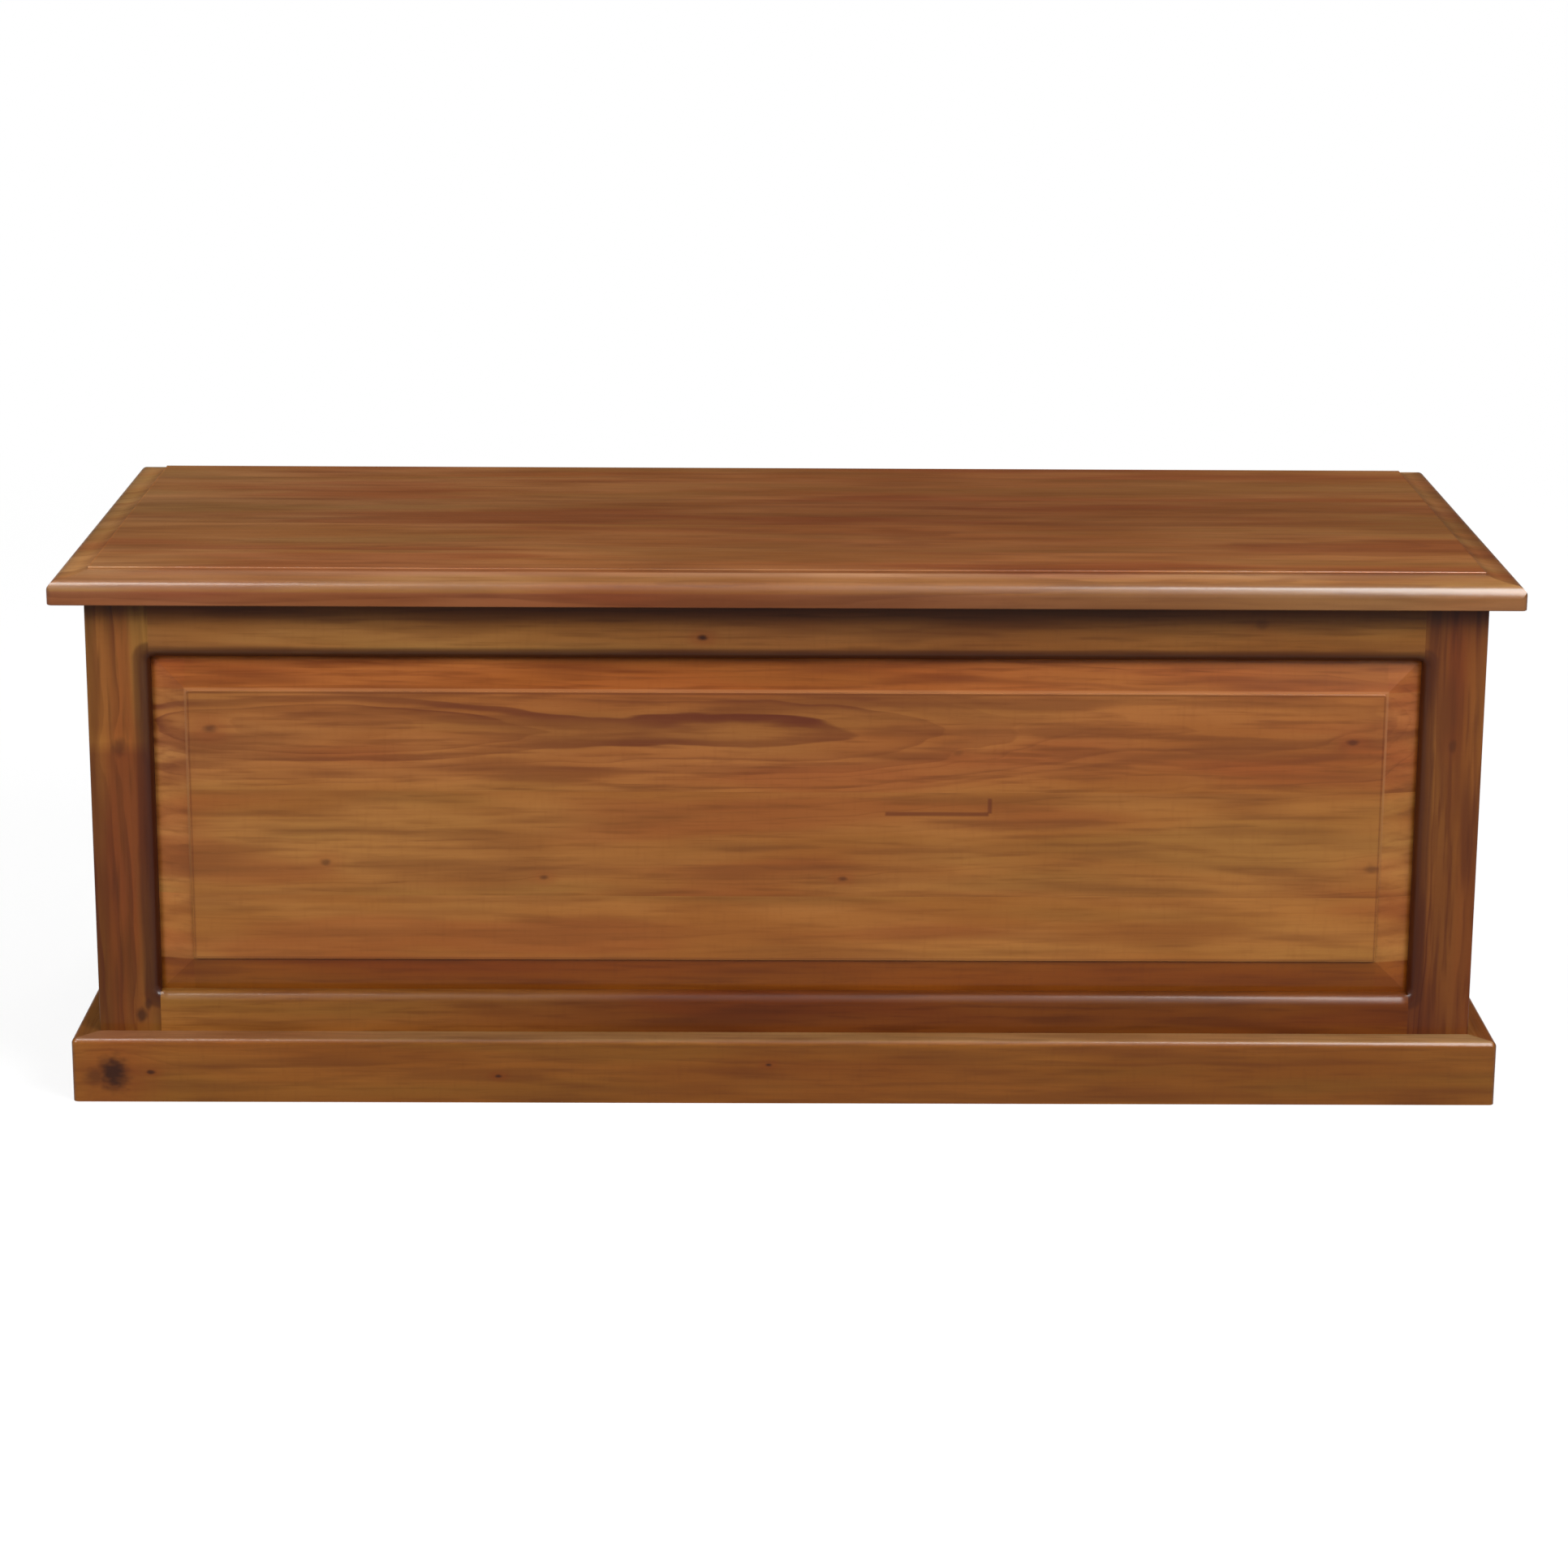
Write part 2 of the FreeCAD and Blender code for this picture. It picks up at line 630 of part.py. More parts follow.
def make_stay():
    """One folding stay: post bracket, two arms, elbow rivet and lid bracket."""
    post, lid, elbow = stay_points()
    hole = stay_stud_radius + running_clearance
    outer_plane = (stay_metal + stay_gap, 2 * stay_metal + stay_gap)
    inner_plane = (outer_plane[1] + stay_gap, outer_plane[1] + stay_gap + stay_metal)
    half = stay_post_plate_width / 2
    plate = block(stay_face - stay_metal, stay_face, post[0] - half, post[0] + half, post[1] - half,
                  post[1] + stay_post_plate_height - half)
    ends = edges_along(plate, lambda p: near(abs(p.y - post[0]), half) and
                       (near(p.z, post[1] - half) or near(p.z, post[1] + stay_post_plate_height - half)))
    plate = plate.makeFillet(half * 0.6, ends)
    stud = stay_rod(stay_metal / 2, outer_plane[1] + stay_gap, post, stay_stud_radius)
    head = stay_rod(outer_plane[1] + stay_gap, outer_plane[1] + stay_gap + stay_head_thickness, post, stay_head_radius)
    bracket = plate.fuse([stud, head])
    bracket = one_solid(drilled(bracket, stay_post_screw_places(), (1, 0, 0), stay_screw_length))

    lower = stay_arm(outer_plane[0], outer_plane[1], post, elbow, hole, hole)
    upper = stay_arm(inner_plane[0], inner_plane[1], lid, elbow, hole, stay_stud_radius + stay_elbow_clearance)
    rivet_end = inner_plane[1] + stay_gap
    rivet = stay_rod(outer_plane[0] - stay_head_thickness, rivet_end + stay_head_thickness, elbow, stay_stud_radius)
    rivet = rivet.fuse([
        stay_rod(outer_plane[0] - stay_head_thickness, outer_plane[0], elbow, stay_head_radius),
        stay_rod(rivet_end, rivet_end + stay_head_thickness, elbow, stay_head_radius),
    ])

    length = stay_lid_plate_length / 2
    ear = stay_arm_width / 2
    x = stay_face - outer_plane[0]
    flange = block(x - stay_lid_plate_width, x, lid[0] - length, lid[0] + length, lid_underside - stay_metal,
                   lid_underside)
    hanger = block(x - stay_metal, x, lid[0] - ear, lid[0] + ear, lid[1], lid_underside)
    hanger = hanger.fuse(stay_rod(outer_plane[0], outer_plane[1], lid, ear))
    lid_stud = stay_rod(outer_plane[1] - stay_metal / 2, rivet_end, lid, stay_stud_radius)
    lid_head = stay_rod(rivet_end, rivet_end + stay_head_thickness, lid, stay_head_radius)
    lid_bracket = flange.fuse([hanger, lid_stud, lid_head])
    lid_bracket = one_solid(drilled(lid_bracket, stay_lid_screw_places(), (0, 0, 1), stay_screw_length))
    return {"stay_post_bracket": bracket, "stay_lower_arm": lower, "stay_upper_arm": upper,
            "stay_elbow_rivet": one_solid(rivet), "stay_lid_bracket": lid_bracket}


def make_stays():
    """Both stays and their screws."""
    stays = {}
    for name, piece in make_stay().items():
        stays[name + "_right"] = piece
        stays[name + "_left"] = mirrored(piece)
    right = [screw_at(place, (1, 0, 0), stay_screw_length) for place in stay_post_screw_places()]
    in_lid = [screw_at(place, (0, 0, 1), stay_screw_length) for place in stay_lid_screw_places()]
    return stays, right + [mirrored(one) for one in right], in_lid


def fit_stay_to_post(post, right_hand):
    """A rear post with the screw holes for its stay bracket."""
    holes = [screw_at(place, (1, 0, 0), stay_screw_length, screw_clearance) for place in stay_post_screw_places()]
    if not right_hand:
        holes = [mirrored(hole) for hole in holes]
    return one_solid(post.cut(holes))


def make_bumpers():
    """A felt dot on each front post, as thick as the gap under the lid."""
    x, y = half_width - post_width / 2, half_depth - post_depth / 2
    return [Part.makeCylinder(bumper_radius, lid_gap, V(sign * x, -y, rim_height)) for sign in (-1, 1)]


def make_all():
    """Every node of the chest, by name."""
    reliefs = {"front": opening_relief(front_opening), "side": opening_relief(side_opening)}
    nodes = {}
    for name, x_sign, y_sign in (("front_left", -1, -1), ("front_right", 1, -1), ("rear_left", -1, 1),
                                 ("rear_right", 1, 1)):
        nodes["post_" + name] = make_post(x_sign, y_sign, reliefs)
    nodes.update(make_rails(reliefs))
    nodes.update(make_panels())
    nodes.update(make_plinth())
    nodes.update(make_floor())
    cleats, cleat_screws, cleat_holes = make_cleats()
    nodes.update(cleats)
    for side, holes in cleat_holes.items():
        rail = "rail_%s_bottom" % side
        nodes[rail] = one_solid(nodes[rail].cut(holes))
    nodes["lid_board"] = make_lid_board()
    battens, batten_screws = make_battens()
    nodes.update(battens)
    hinges, hinge_screws_carcass, hinge_screws_lid = make_hinges()
    nodes.update(hinges)
    nodes["rail_rear_top"] = fit_hinges_to_rail(nodes["rail_rear_top"])
    stays, stay_screws_post, stay_screws_lid = make_stays()
    nodes.update(stays)
    nodes["post_rear_right"] = fit_stay_to_post(nodes["post_rear_right"], True)
    nodes["post_rear_left"] = fit_stay_to_post(nodes["post_rear_left"], False)
    nodes["floor_cleat_screws"] = Part.makeCompound(cleat_screws)
    nodes["lid_batten_screws"] = Part.makeCompound(batten_screws)
    nodes["hinge_screws_carcass"] = Part.makeCompound(hinge_screws_carcass)
    nodes["hinge_screws_lid"] = Part.makeCompound(hinge_screws_lid)
    nodes["stay_screws_post"] = Part.makeCompound(stay_screws_post)
    nodes["stay_screws_lid"] = Part.makeCompound(stay_screws_lid)
    nodes["lid_bumpers"] = Part.makeCompound(make_bumpers())
    return nodes


def main():
    os.makedirs("parts", exist_ok=True)
    nodes = make_all()
    for name in sorted(nodes):
        shape = nodes[name]
        if not shape.isValid() or not shape.Solids:
            raise ValueError("%s is not a valid solid" % name)
        shape.exportStep("parts/%s.step" % name)
    post, lid, elbow = stay_points()
    print("nodes", len(nodes))
    print("hinge pin y %.3f z %.3f" % (pin_y, pin_z))
    print("stay post pivot y %.3f z %.3f, lid pivot y %.3f z %.3f, elbow y %.3f z %.3f" % (post + lid + elbow))


main()
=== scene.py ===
import math

import bpy
from mathutils import Matrix, Vector

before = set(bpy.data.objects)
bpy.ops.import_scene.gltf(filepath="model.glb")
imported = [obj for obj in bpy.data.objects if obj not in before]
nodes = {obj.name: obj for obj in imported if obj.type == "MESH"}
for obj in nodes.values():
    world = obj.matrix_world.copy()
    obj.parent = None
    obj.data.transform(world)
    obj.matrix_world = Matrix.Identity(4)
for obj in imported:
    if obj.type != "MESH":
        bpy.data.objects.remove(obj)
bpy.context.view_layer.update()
print("frame loaded:", len(nodes), "nodes")


def linearColour(hexCode):
    # sRGB hex to the linear values that shader sockets take
    channels = [int(hexCode[i:i + 2], 16) / 255 for i in (1, 3, 5)]
    linear = [c / 12.92 if c <= 0.04045 else ((c + 0.055) / 1.055) ** 2.4 for c in channels]
    return (*linear, 1.0)


def addNode(tree, kind, inputs=(), **settings):
    # one shader node with its settings, and what goes into its sockets, by number or by name: a value,
    # a socket, or a node, which then gives its first output
    node = tree.nodes.new("ShaderNode" + kind)
    for key, value in settings.items():
        setattr(node, key, value)
    for key, value in inputs.items() if isinstance(inputs, dict) else enumerate(inputs):
        if isinstance(value, bpy.types.Node):
            value = next(socket for socket in value.outputs if socket.enabled)
        if isinstance(value, bpy.types.NodeSocket):
            tree.links.new(value, node.inputs[key])
        else:
            node.inputs[key].default_value = value
    return node


# Settings that many of the nodes share
soft = {"interpolation_type": "SMOOTHSTEP"}
mixing = {"data_type": "RGBA"}
tinting = {"data_type": "RGBA", "blend_type": "MULTIPLY"}


def newMaterial(name):
    material = bpy.data.materials.new(name)
    material.use_nodes = True
    material.node_tree.nodes.clear()
    return material, material.node_tree


# Camera

cameraView = {
    "place": (-0.0333, -3.2862, 1.1845),
    "yaw": -0.559,
    "pitchDown": 13.418,
    "roll": -0.357,
    "sensorWidth": 36,
    "lens": 84.39,
    "shiftY": -0.12,
}


def makeCamera(view):
    data = bpy.data.cameras.new("studioCamera")
    data.sensor_width = view["sensorWidth"]
    data.lens = view["lens"]
    data.shift_y = view["shiftY"]
    camera = bpy.data.objects.new("studioCamera", data)
    bpy.context.scene.collection.objects.link(camera)
    camera.matrix_world = (Matrix.Translation(view["place"])
                           @ Matrix.Rotation(math.radians(view["yaw"]), 4, "Z")
                           @ Matrix.Rotation(math.radians(90 - view["pitchDown"]), 4, "X")
                           @ Matrix.Rotation(math.radians(-view["roll"]), 4, "Z"))
    bpy.context.scene.camera = camera


makeCamera(cameraView)
print("camera placed")

# Studio: broad soft boxes at both front corners and behind, two tall windows that show only in reflections,
# a room with a white ceiling and dark walls, and a pale floor

softBoxes = {
    "softBoxLeft": {"place": (-1.7, -2.3, 1.75), "size": (1.2, 1.1), "watts": 47, "aim": (-0.2, -0.2, 0.3)},
    "softBoxRight": {"place": (1.5, -1.9, 2.2), "size": (1.3, 1.2), "watts": 65, "aim": (0.2, -0.2, 0.3)},
    "softBoxBehind": {"place": (0.5, 2.6, 1.9), "size": (1.6, 1.2), "watts": 26, "aim": (0.0, 0.0, 0.3)},
}
windows = {
    "windowRight": {"place": (1.17, -1.3, 1.85), "size": (0.8, 2.7), "watts": 270, "aim": (0.75, -0.2, 0.4)},
    "windowLeft": {"place": (-1.45, -1.1, 1.8), "size": (0.5, 2.8), "watts": 165, "aim": (-0.75, -0.2, 0.4)},
}
windowLight = "#ecfaff"

# The cornice and the ceiling come in over a range of upward directions, from 0 for level to 1 for straight up
room = {
    "wall": "#1c1c1e",
    "cornice": "#4c4c4c",
    "ceiling": "#ffffff",
    "corniceRange": (0.25, 0.65),
    "ceilingRange": (0.6, 0.9),
    "strength": 1.0,
}

# Painted grey, lifted to white for the camera and for reflections, and plain white further out
floorFinish = {"colour": "#7c7c7c", "lift": 0.82, "whiteRange": (1.2, 3.0), "radius": 60, "corners": 96}


def makeLamp(name, lamp):
    data = bpy.data.lights.new(name, "AREA")
    data.shape = "RECTANGLE"
    data.size, data.size_y = lamp["size"]
    data.energy = lamp["watts"]
    box = bpy.data.objects.new(name, data)
    bpy.context.scene.collection.objects.link(box)
    box.location = lamp["place"]
    box.rotation_euler = (Vector(lamp["aim"]) - Vector(lamp["place"])).to_track_quat("-Z", "Y").to_euler()
    return box


def makeRoom(settings):
    world = bpy.data.worlds.new("studioRoom")
    world.use_nodes = True
    tree = world.node_tree
    tree.nodes.clear()
    direction = addNode(tree, "TexCoord").outputs["Generated"]
    upward = addNode(tree, "SeparateXYZ", (direction,)).outputs["Z"]
    colour = linearColour(settings["wall"])
    for part in ("cornice", "ceiling"):
        share = addNode(tree, "MapRange", (upward, *settings[part + "Range"]), **soft)
        colour = addNode(tree, "Mix", {"Factor": share, "A": colour, "B": linearColour(settings[part])},
                         **mixing)
    glow = addNode(tree, "Background", (colour, settings["strength"]))
    addNode(tree, "OutputWorld", (glow,))
    bpy.context.scene.world = world


def makeFloor(settings):
    material, tree = newMaterial("paintedStudioFloor")
    place = addNode(tree, "TexCoord").outputs["Object"]
    flat = addNode(tree, "VectorMath", (place, (1, 1, 0)), operation="MULTIPLY")
    distance = addNode(tree, "VectorMath", (flat,), operation="LENGTH")
    far = addNode(tree, "MapRange", (distance, *settings["whiteRange"]), **soft)
    rays = addNode(tree, "LightPath").outputs
    seen = addNode(tree, "Math", (rays["Is Camera Ray"], rays["Is Glossy Ray"]), operation="MAXIMUM")
    seen = addNode(tree, "Math", (seen, rays["Is Transmission Ray"]), operation="MAXIMUM")
    paint = addNode(tree, "BsdfDiffuse", (linearColour(settings["colour"]),))
    liftAmount = addNode(tree, "Math", (seen, settings["lift"]), operation="MULTIPLY")
    lift = addNode(tree, "Emission", {"Strength": liftAmount})
    near = addNode(tree, "AddShader", (paint, lift))
    white = addNode(tree, "Emission", {"Strength": 1.0})
    share = addNode(tree, "Math", (seen, far), operation="MULTIPLY")
    both = addNode(tree, "MixShader", (share, near, white))
    addNode(tree, "OutputMaterial", (both,))
    bpy.ops.mesh.primitive_circle_add(vertices=settings["corners"], radius=settings["radius"],
                                      fill_type="NGON")
    floor = bpy.context.object
    floor.name = "studioFloor"
    floor.data.materials.append(material)


for lampName, lamp in softBoxes.items():
    makeLamp(lampName, lamp).visible_glossy = False
for lampName, lamp in windows.items():
    window = makeLamp(lampName, lamp)
    window.visible_diffuse = False
    window.data.color = linearColour(windowLight)[:3]
makeRoom(room)
makeFloor(floorFinish)
bpy.context.scene.view_settings.view_transform = "Standard"
print("studio made")

# Wood

# Plantation hardwood, stained warm brown under a satin lacquer: soft streaks, thin red growth lines and pin
# knots. Growth rings stand round a pith behind each stave, so their lines run along it and close into long
# arches where the stave was cut flat. Lengths are in metres.
woodPaints = {
    "pale": "#a86f33",
    "middle": "#975d24",
    "olive": "#8f672b",
    "red": "#8e461b",
    "deep": "#6e3c14",
    "line": "#59230d",
    "knot": "#2c0f05",
    # stain lying in the routed recesses, and their painted shade
    "poolAndRecessShade": "#391304",
    # a painted highlight on the fields' arris
    "arrisHighlight": "#b9824e",
}

# The grain's marks: how far each runs along the wood, how wide it is across, and its octaves
grainMarks = {
    "fibre": (0.05, 0.0016, 3.0),
    "streak": (0.07, 0.0048, 2.0),
    "band": (0.15, 0.015, 1.0),
    "patch": (0.18, 0.045, 2.0),
    "hue": (0.3, 0.04, 1.0),
    "pore": (0.011, 0.0007, 1.0),  # real pores are half as wide, too fine to show
    "mottle": (0.004, 0.022, 1.0),
    "wander": (0.11, 0.02, 2.0),
    "drift": (0.6, 0.08, 1.0),
    "fading": (0.22, 0.03, 1.0),
    "knotEdge": (0.008, 0.005, 1.0),
    "lacquerFlow": (0.03, 0.012, 1.0),
}

# How far the marks are shifted by a stave's tone, along the board, and by the board's seed, on each axis
grainShift = {"byTone": 23.0, "bySeed": (3.7, 1.9, 2.3)}

# How the marks colour the wood: mark, where it starts and is full, its most, and its paint. The board's
# contrast and the strength of its lines scale the bold group, and its fineness scales the fine one.
patchRange = (0.3, 0.7)
oliveTint = ("hue", 0.5, 0.68, 0.4, "olive")
redRange = (0.48, 0.34)
boldStrength = (0.5, 1.1)
boldTints = [
    ("band", 0.46, 0.7, 0.52, "deep"),
    ("streak", 0.46, 0.74, 0.5, "deep"),
]
fineTints = [
    ("fibre", 0.45, 0.72, 0.12, "deep"),
    ("fibre", 0.45, 0.3, 0.1, "pale"),
    ("pore", 0.62, 0.74, 0.14, "line"),
    ("mottle", 0.5, 0.8, 0.12, "deep"),
]
staveTone = {"gain": 0.8, "base": 0.6}

# Knots, by the distance from their middle in knot sizes: where each layer is clear and full, and how the
# layers of several knots join. Large knots were cut straighter through, so they are less long along the wood.
knotLayers = {
    "core": (1.35, 0.5, "MAXIMUM"),
    "halo": (3.5, 0.8, "MAXIMUM"),
    "push": (4.0, 0.0, "ADD"),
}
knotShape = {"slimness": 0.45, "bluntness": 35, "raggedness": 0.6, "haloStrength": 0.5, "pushPerSize": 0.8}

# Rings: how much the slow marks move them, how uneven the years are, from where the lines weaken away from
# the pith, and what is left of them far from it
ringShape = {
    "drift": 0.03,
    "wander": 0.011,
    "uneven": 2.4,
    "unevenScale": 0.55,
    "unevenOctaves": 1.0,
    "bySeed": 3.1,
    "pithRadius": 0.02,
    "farStrength": 0.3,
}

# A year's line, and the late wood that darkens towards it: a range of a mark, and the strengths it gives
yearLine = {
    "rise": (0.6, 0.88, 0.0, 0.85),
    "end": (0.9, 1.0, 1.0, 0.0),
    "fading": (0.38, 0.62, 0.1, 1.0),
    "chance": (0.1, 0.9, 0.15, 1.0),
}
lateWood = {
    "rise": (0.15, 0.85, 0.1, 0.6),
    "end": (0.9, 1.0, 1.0, 0.15),
    "chance": (0.2, 0.8, 0.3, 1.0),
    "lines": (0.0, 1.0, 0.3, 1.0),
}

# Scratches that the stain darkened: how softly their ends and sides fade, and how dark they are
scratchLine = {"endFade": 0.002, "sideFade": 0.0015, "strength": 0.65}

# Where the panels lie in the front and the ends: their openings, and the raised fields within them
panelPlaces = {
    "front": {"halfOpening": 0.549, "halfField": 0.519, "face": 0.223},
    "end": {"halfOpening": 0.177, "halfField": 0.147, "face": 0.603},
    "openingLow": 0.093,
    "openingHigh": 0.3965,
    "fieldLow": 0.123,
    "fieldHigh": 0.3665,
}

# The frame's routed edges, by the distance from the opening: how softly the stain lying there and the painted
# shade of the recess end, how dark they are at their reach and near the opening, and how deep below the
# frame's face they are clear and full
routedEdge = {
    "fade": (0.001, -0.003),
    "nearOpening": 0.002,
    "strengths": (0.5, 0.95),
    "depthRange": (0.02, 0.015),
}

# The panels' bevels: the ranges past the field's edge where the tints come in, where along the chest the low
# bevel turns to its middle tint, and how deep below the frame's face all of it is clear and full. The low
# bevel faces down and has painted shade; the lip at the high bevel's top has a painted highlight
bevel = {
    "turn": (0.0, 0.0015),
    "sideTurn": (0.0, 0.002),
    "stripeRange": (0.36, 0.64),
    "lowBevelShade": (0.54, 0.38, 0.18, 1.0),
    "lowBevelMiddleShade": (0.7, 0.48, 0.2, 1.0),
    "lowMiddleRange": (-0.56, -0.45),
    "highTint": (0.98, 0.82, 0.72, 1.0),
    "lipHighlight": (1.3, 1.3, 1.3, 1.0),
    "lipHighlightRange": (0.0265, 0.0285),
    "depthRange": (0.0155, 0.0145),
}

# Lines round a field: a dark one within its edge, painted shade of the step, and a painted highlight on its
# arris that comes in towards the top
fieldLines = {
    "line": {"rise": (-0.0028, -0.0018), "fall": (-0.0004, -0.0012), "most": 0.4},
    "arrisHighlight": {"rise": (-0.0008, 0.0), "fall": (0.0026, 0.0012), "most": 0.5, "heights": (0.15, 0.3)},
}

# The bare wood's roughness follows its fibres, and the lacquer flowed a little uneven over it
surface = {
    "roughness": (0.3, 0.7, 0.4, 0.5),
    "specular": 0.08,
    "refraction": 1.5,
    "poreDepth": -0.4,
    "fibreBump": {"Strength": 0.15, "Distance": 0.00015},
    "flowBump": {"Strength": 0.15, "Distance": 0.001},
    "dullLacquer": 0.1,
    "dullTurn": 0.001,
    "endLacquer": 0.12,
}

noTint = (1.0, 1.0, 1.0, 1.0)


def boardPlaces(tree, axes):
    # where a point lies on the chest and on the board
    parts = addNode(tree, "SeparateXYZ", (addNode(tree, "TexCoord").outputs["Object"],)).outputs
    along, across, through = (parts[axis] for axis in axes)
    flat = addNode(tree, "CombineXYZ", (along, across, 0.0))
    return {"x": parts["X"], "y": parts["Y"], "height": parts["Z"],
            "along": along, "across": across, "through": through, "flat": flat}


def chooseStave(tree, across, staves):
    # each stave of a glued-up board has its own pith, its own tone and its own strength of line
    stave, lineStrength = staves[0][1:]
    for start, nextStave, nextStrength in staves[1:]:
        beyond = addNode(tree, "Math", (across, start), operation="GREATER_THAN")
        stave = addNode(tree, "Mix", {"Factor": beyond, "A": stave, "B": nextStave}, data_type="VECTOR")
        lineStrength = addNode(tree, "Mix", {"Factor": beyond, "A": lineStrength, "B": nextStrength})
    pith, depth, tone = addNode(tree, "SeparateXYZ", (stave,)).outputs
    return pith, depth, tone, lineStrength


def grainNoise(tree, at, tone, seed):
    # noise drawn out along the wood, and another stretch of it for each board and stave
    shifted = addNode(tree, "Math", (tone, grainShift["byTone"], at["along"]), operation="MULTIPLY_ADD")
    own = addNode(tree, "CombineXYZ", (shifted, at["across"], at["through"]))
    own = addNode(tree, "VectorMath", (own, [seed * step for step in grainShift["bySeed"]]), operation="ADD")
    marks = {}
    for mark, (run, width, octaves) in grainMarks.items():
        stretched = addNode(tree, "Mapping", {"Vector": own, "Scale": (1 / run, 1 / width, 1 / width)})
        marks[mark] = addNode(tree, "TexNoise", {"Vector": stretched, "Scale": 1.0, "Detail": octaves})
    return marks


def knotShares(tree, at, marks, knots):
    # a dark core, a red halo, and rings pushed aside
    shares = dict.fromkeys(knotLayers, 0.0)
    for alongAt, acrossAt, size, strength in knots:
        strengths = {"core": strength, "halo": strength * knotShape["haloStrength"],
                     "push": size * knotShape["pushPerSize"]}
        scale = (knotShape["slimness"] / size + knotShape["bluntness"], 1 / size, 0)
        offset = addNode(tree, "VectorMath", (at["flat"], (alongAt, acrossAt, 0)), operation="SUBTRACT")
        offset = addNode(tree, "VectorMath", (offset, scale), operation="MULTIPLY")
        distance = addNode(tree, "VectorMath", (offset,), operation="LENGTH")
        distance = addNode(tree, "Math", (marks["knotEdge"], knotShape["raggedness"], distance),
                           operation="MULTIPLY_ADD")
        for layer, (clear, full, joining) in knotLayers.items():
            near = addNode(tree, "MapRange", (distance, clear, full, 0.0, strengths[layer]), **soft)
            shares[layer] = addNode(tree, "Math", (shares[layer], near), operation=joining)
    return shares


def pithDistance(tree, board, at, pith, depth):
    # the pith bows away along the board and swells in waves, so that flat-cut faces show arches
    fromArch = addNode(tree, "Math", (at["along"], board["archAt"]), operation="SUBTRACT")
    squared = addNode(tree, "Math", (fromArch, fromArch), operation="MULTIPLY")
    away = addNode(tree, "Math", (squared, board["bow"], depth), operation="MULTIPLY_ADD")
    swell, period, crest = board["swell"]
    turns = math.tau / period
    angle = addNode(tree, "Math", (at["along"], turns, -crest * turns), operation="MULTIPLY_ADD")
    wave = addNode(tree, "Math", (angle,), operation="COSINE")
    away = addNode(tree, "Math", (wave, -swell, away), operation="MULTIPLY_ADD")
    inward = addNode(tree, "Math", (at["through"],), operation="ABSOLUTE")
    inward = addNode(tree, "Math", (inward, board["face"]), operation="SUBTRACT")
    inward = addNode(tree, "Math", (inward,), operation="ABSOLUTE")
    away = addNode(tree, "Math", (away, inward), operation="ADD")
    sideways = addNode(tree, "Math", (at["across"], pith), operation="SUBTRACT")
    offset = addNode(tree, "CombineXYZ", (sideways, away, 0.0))
    return addNode(tree, "VectorMath", (offset,), operation="LENGTH")


def ringMarks(tree, board, at, marks, radius, push):
    # how far through its year the wood is, each year's own chance, and how near the pith it lies
    nearPith = addNode(tree, "MapRange", (radius, ringShape["pithRadius"], board["linesTo"],
                                          1.0, ringShape["farStrength"]), **soft)
    radius = addNode(tree, "Math", (at["along"], board["taper"], radius), operation="MULTIPLY_ADD")
    for mark in ("drift", "wander"):
        radius = addNode(tree, "Math", (marks[mark], ringShape[mark], radius), operation="MULTIPLY_ADD")
    radius = addNode(tree, "Math", (radius, push), operation="ADD")
    years = addNode(tree, "Math", (radius, board["ringSpacing"]), operation="DIVIDE")
    shifted = addNode(tree, "Math", (years, board["seed"] * ringShape["bySeed"]), operation="ADD")
    uneven = addNode(tree, "TexNoise", {"W": shifted, "Scale": ringShape["unevenScale"],
                                        "Detail": ringShape["unevenOctaves"]}, noise_dimensions="1D")
    years = addNode(tree, "Math", (uneven, ringShape["uneven"], years), operation="MULTIPLY_ADD")
    season = addNode(tree, "Math", (years,), operation="FRACT")
    year = addNode(tree, "Math", (years,), operation="FLOOR")
    chance = addNode(tree, "TexWhiteNoise", {"W": year}, noise_dimensions="1D")
    return season, chance, nearPith


def yearShades(tree, marks, rings, lineStrength):
    # the late wood and its line, weaker in some years and away from the pith
    season, chance, nearPith = rings
    late = addNode(tree, "MapRange", (season, *lateWood["rise"]), **soft)
    for share in (nearPith,
                  addNode(tree, "MapRange", (chance, *lateWood["chance"])),
                  addNode(tree, "MapRange", (season, *lateWood["end"]), **soft),
                  addNode(tree, "MapRange", (lineStrength, *lateWood["lines"]))):
        late = addNode(tree, "Math", (late, share), operation="MULTIPLY")
    line = addNode(tree, "MapRange", (season, *yearLine["rise"]), **soft)
    for share in (addNode(tree, "MapRange", (season, *yearLine["end"]), **soft),
                  addNode(tree, "MapRange", (marks["fading"], *yearLine["fading"]), **soft),
                  addNode(tree, "MapRange", (chance, *yearLine["chance"]), **soft),
                  nearPith,
                  lineStrength):
        line = addNode(tree, "Math", (line, share), operation="MULTIPLY")
    return [(late, "deep"), (line, "line")]


def scratchShade(tree, flat, alongAt, acrossAt, halfLength, halfWidth):
    offset = addNode(tree, "VectorMath", (flat, (alongAt, acrossAt, 0)), operation="SUBTRACT")
    offset = addNode(tree, "VectorMath", (offset,), operation="ABSOLUTE")
    apart = addNode(tree, "SeparateXYZ", (offset,)).outputs
    inLength = addNode(tree, "MapRange", (apart["X"], halfLength + scratchLine["endFade"], halfLength,
                                          0.0, scratchLine["strength"]), **soft)
    inWidth = addNode(tree, "MapRange", (apart["Y"], halfWidth + scratchLine["sideFade"], halfWidth), **soft)
    return addNode(tree, "Math", (inLength, inWidth), operation="MULTIPLY"), "line"


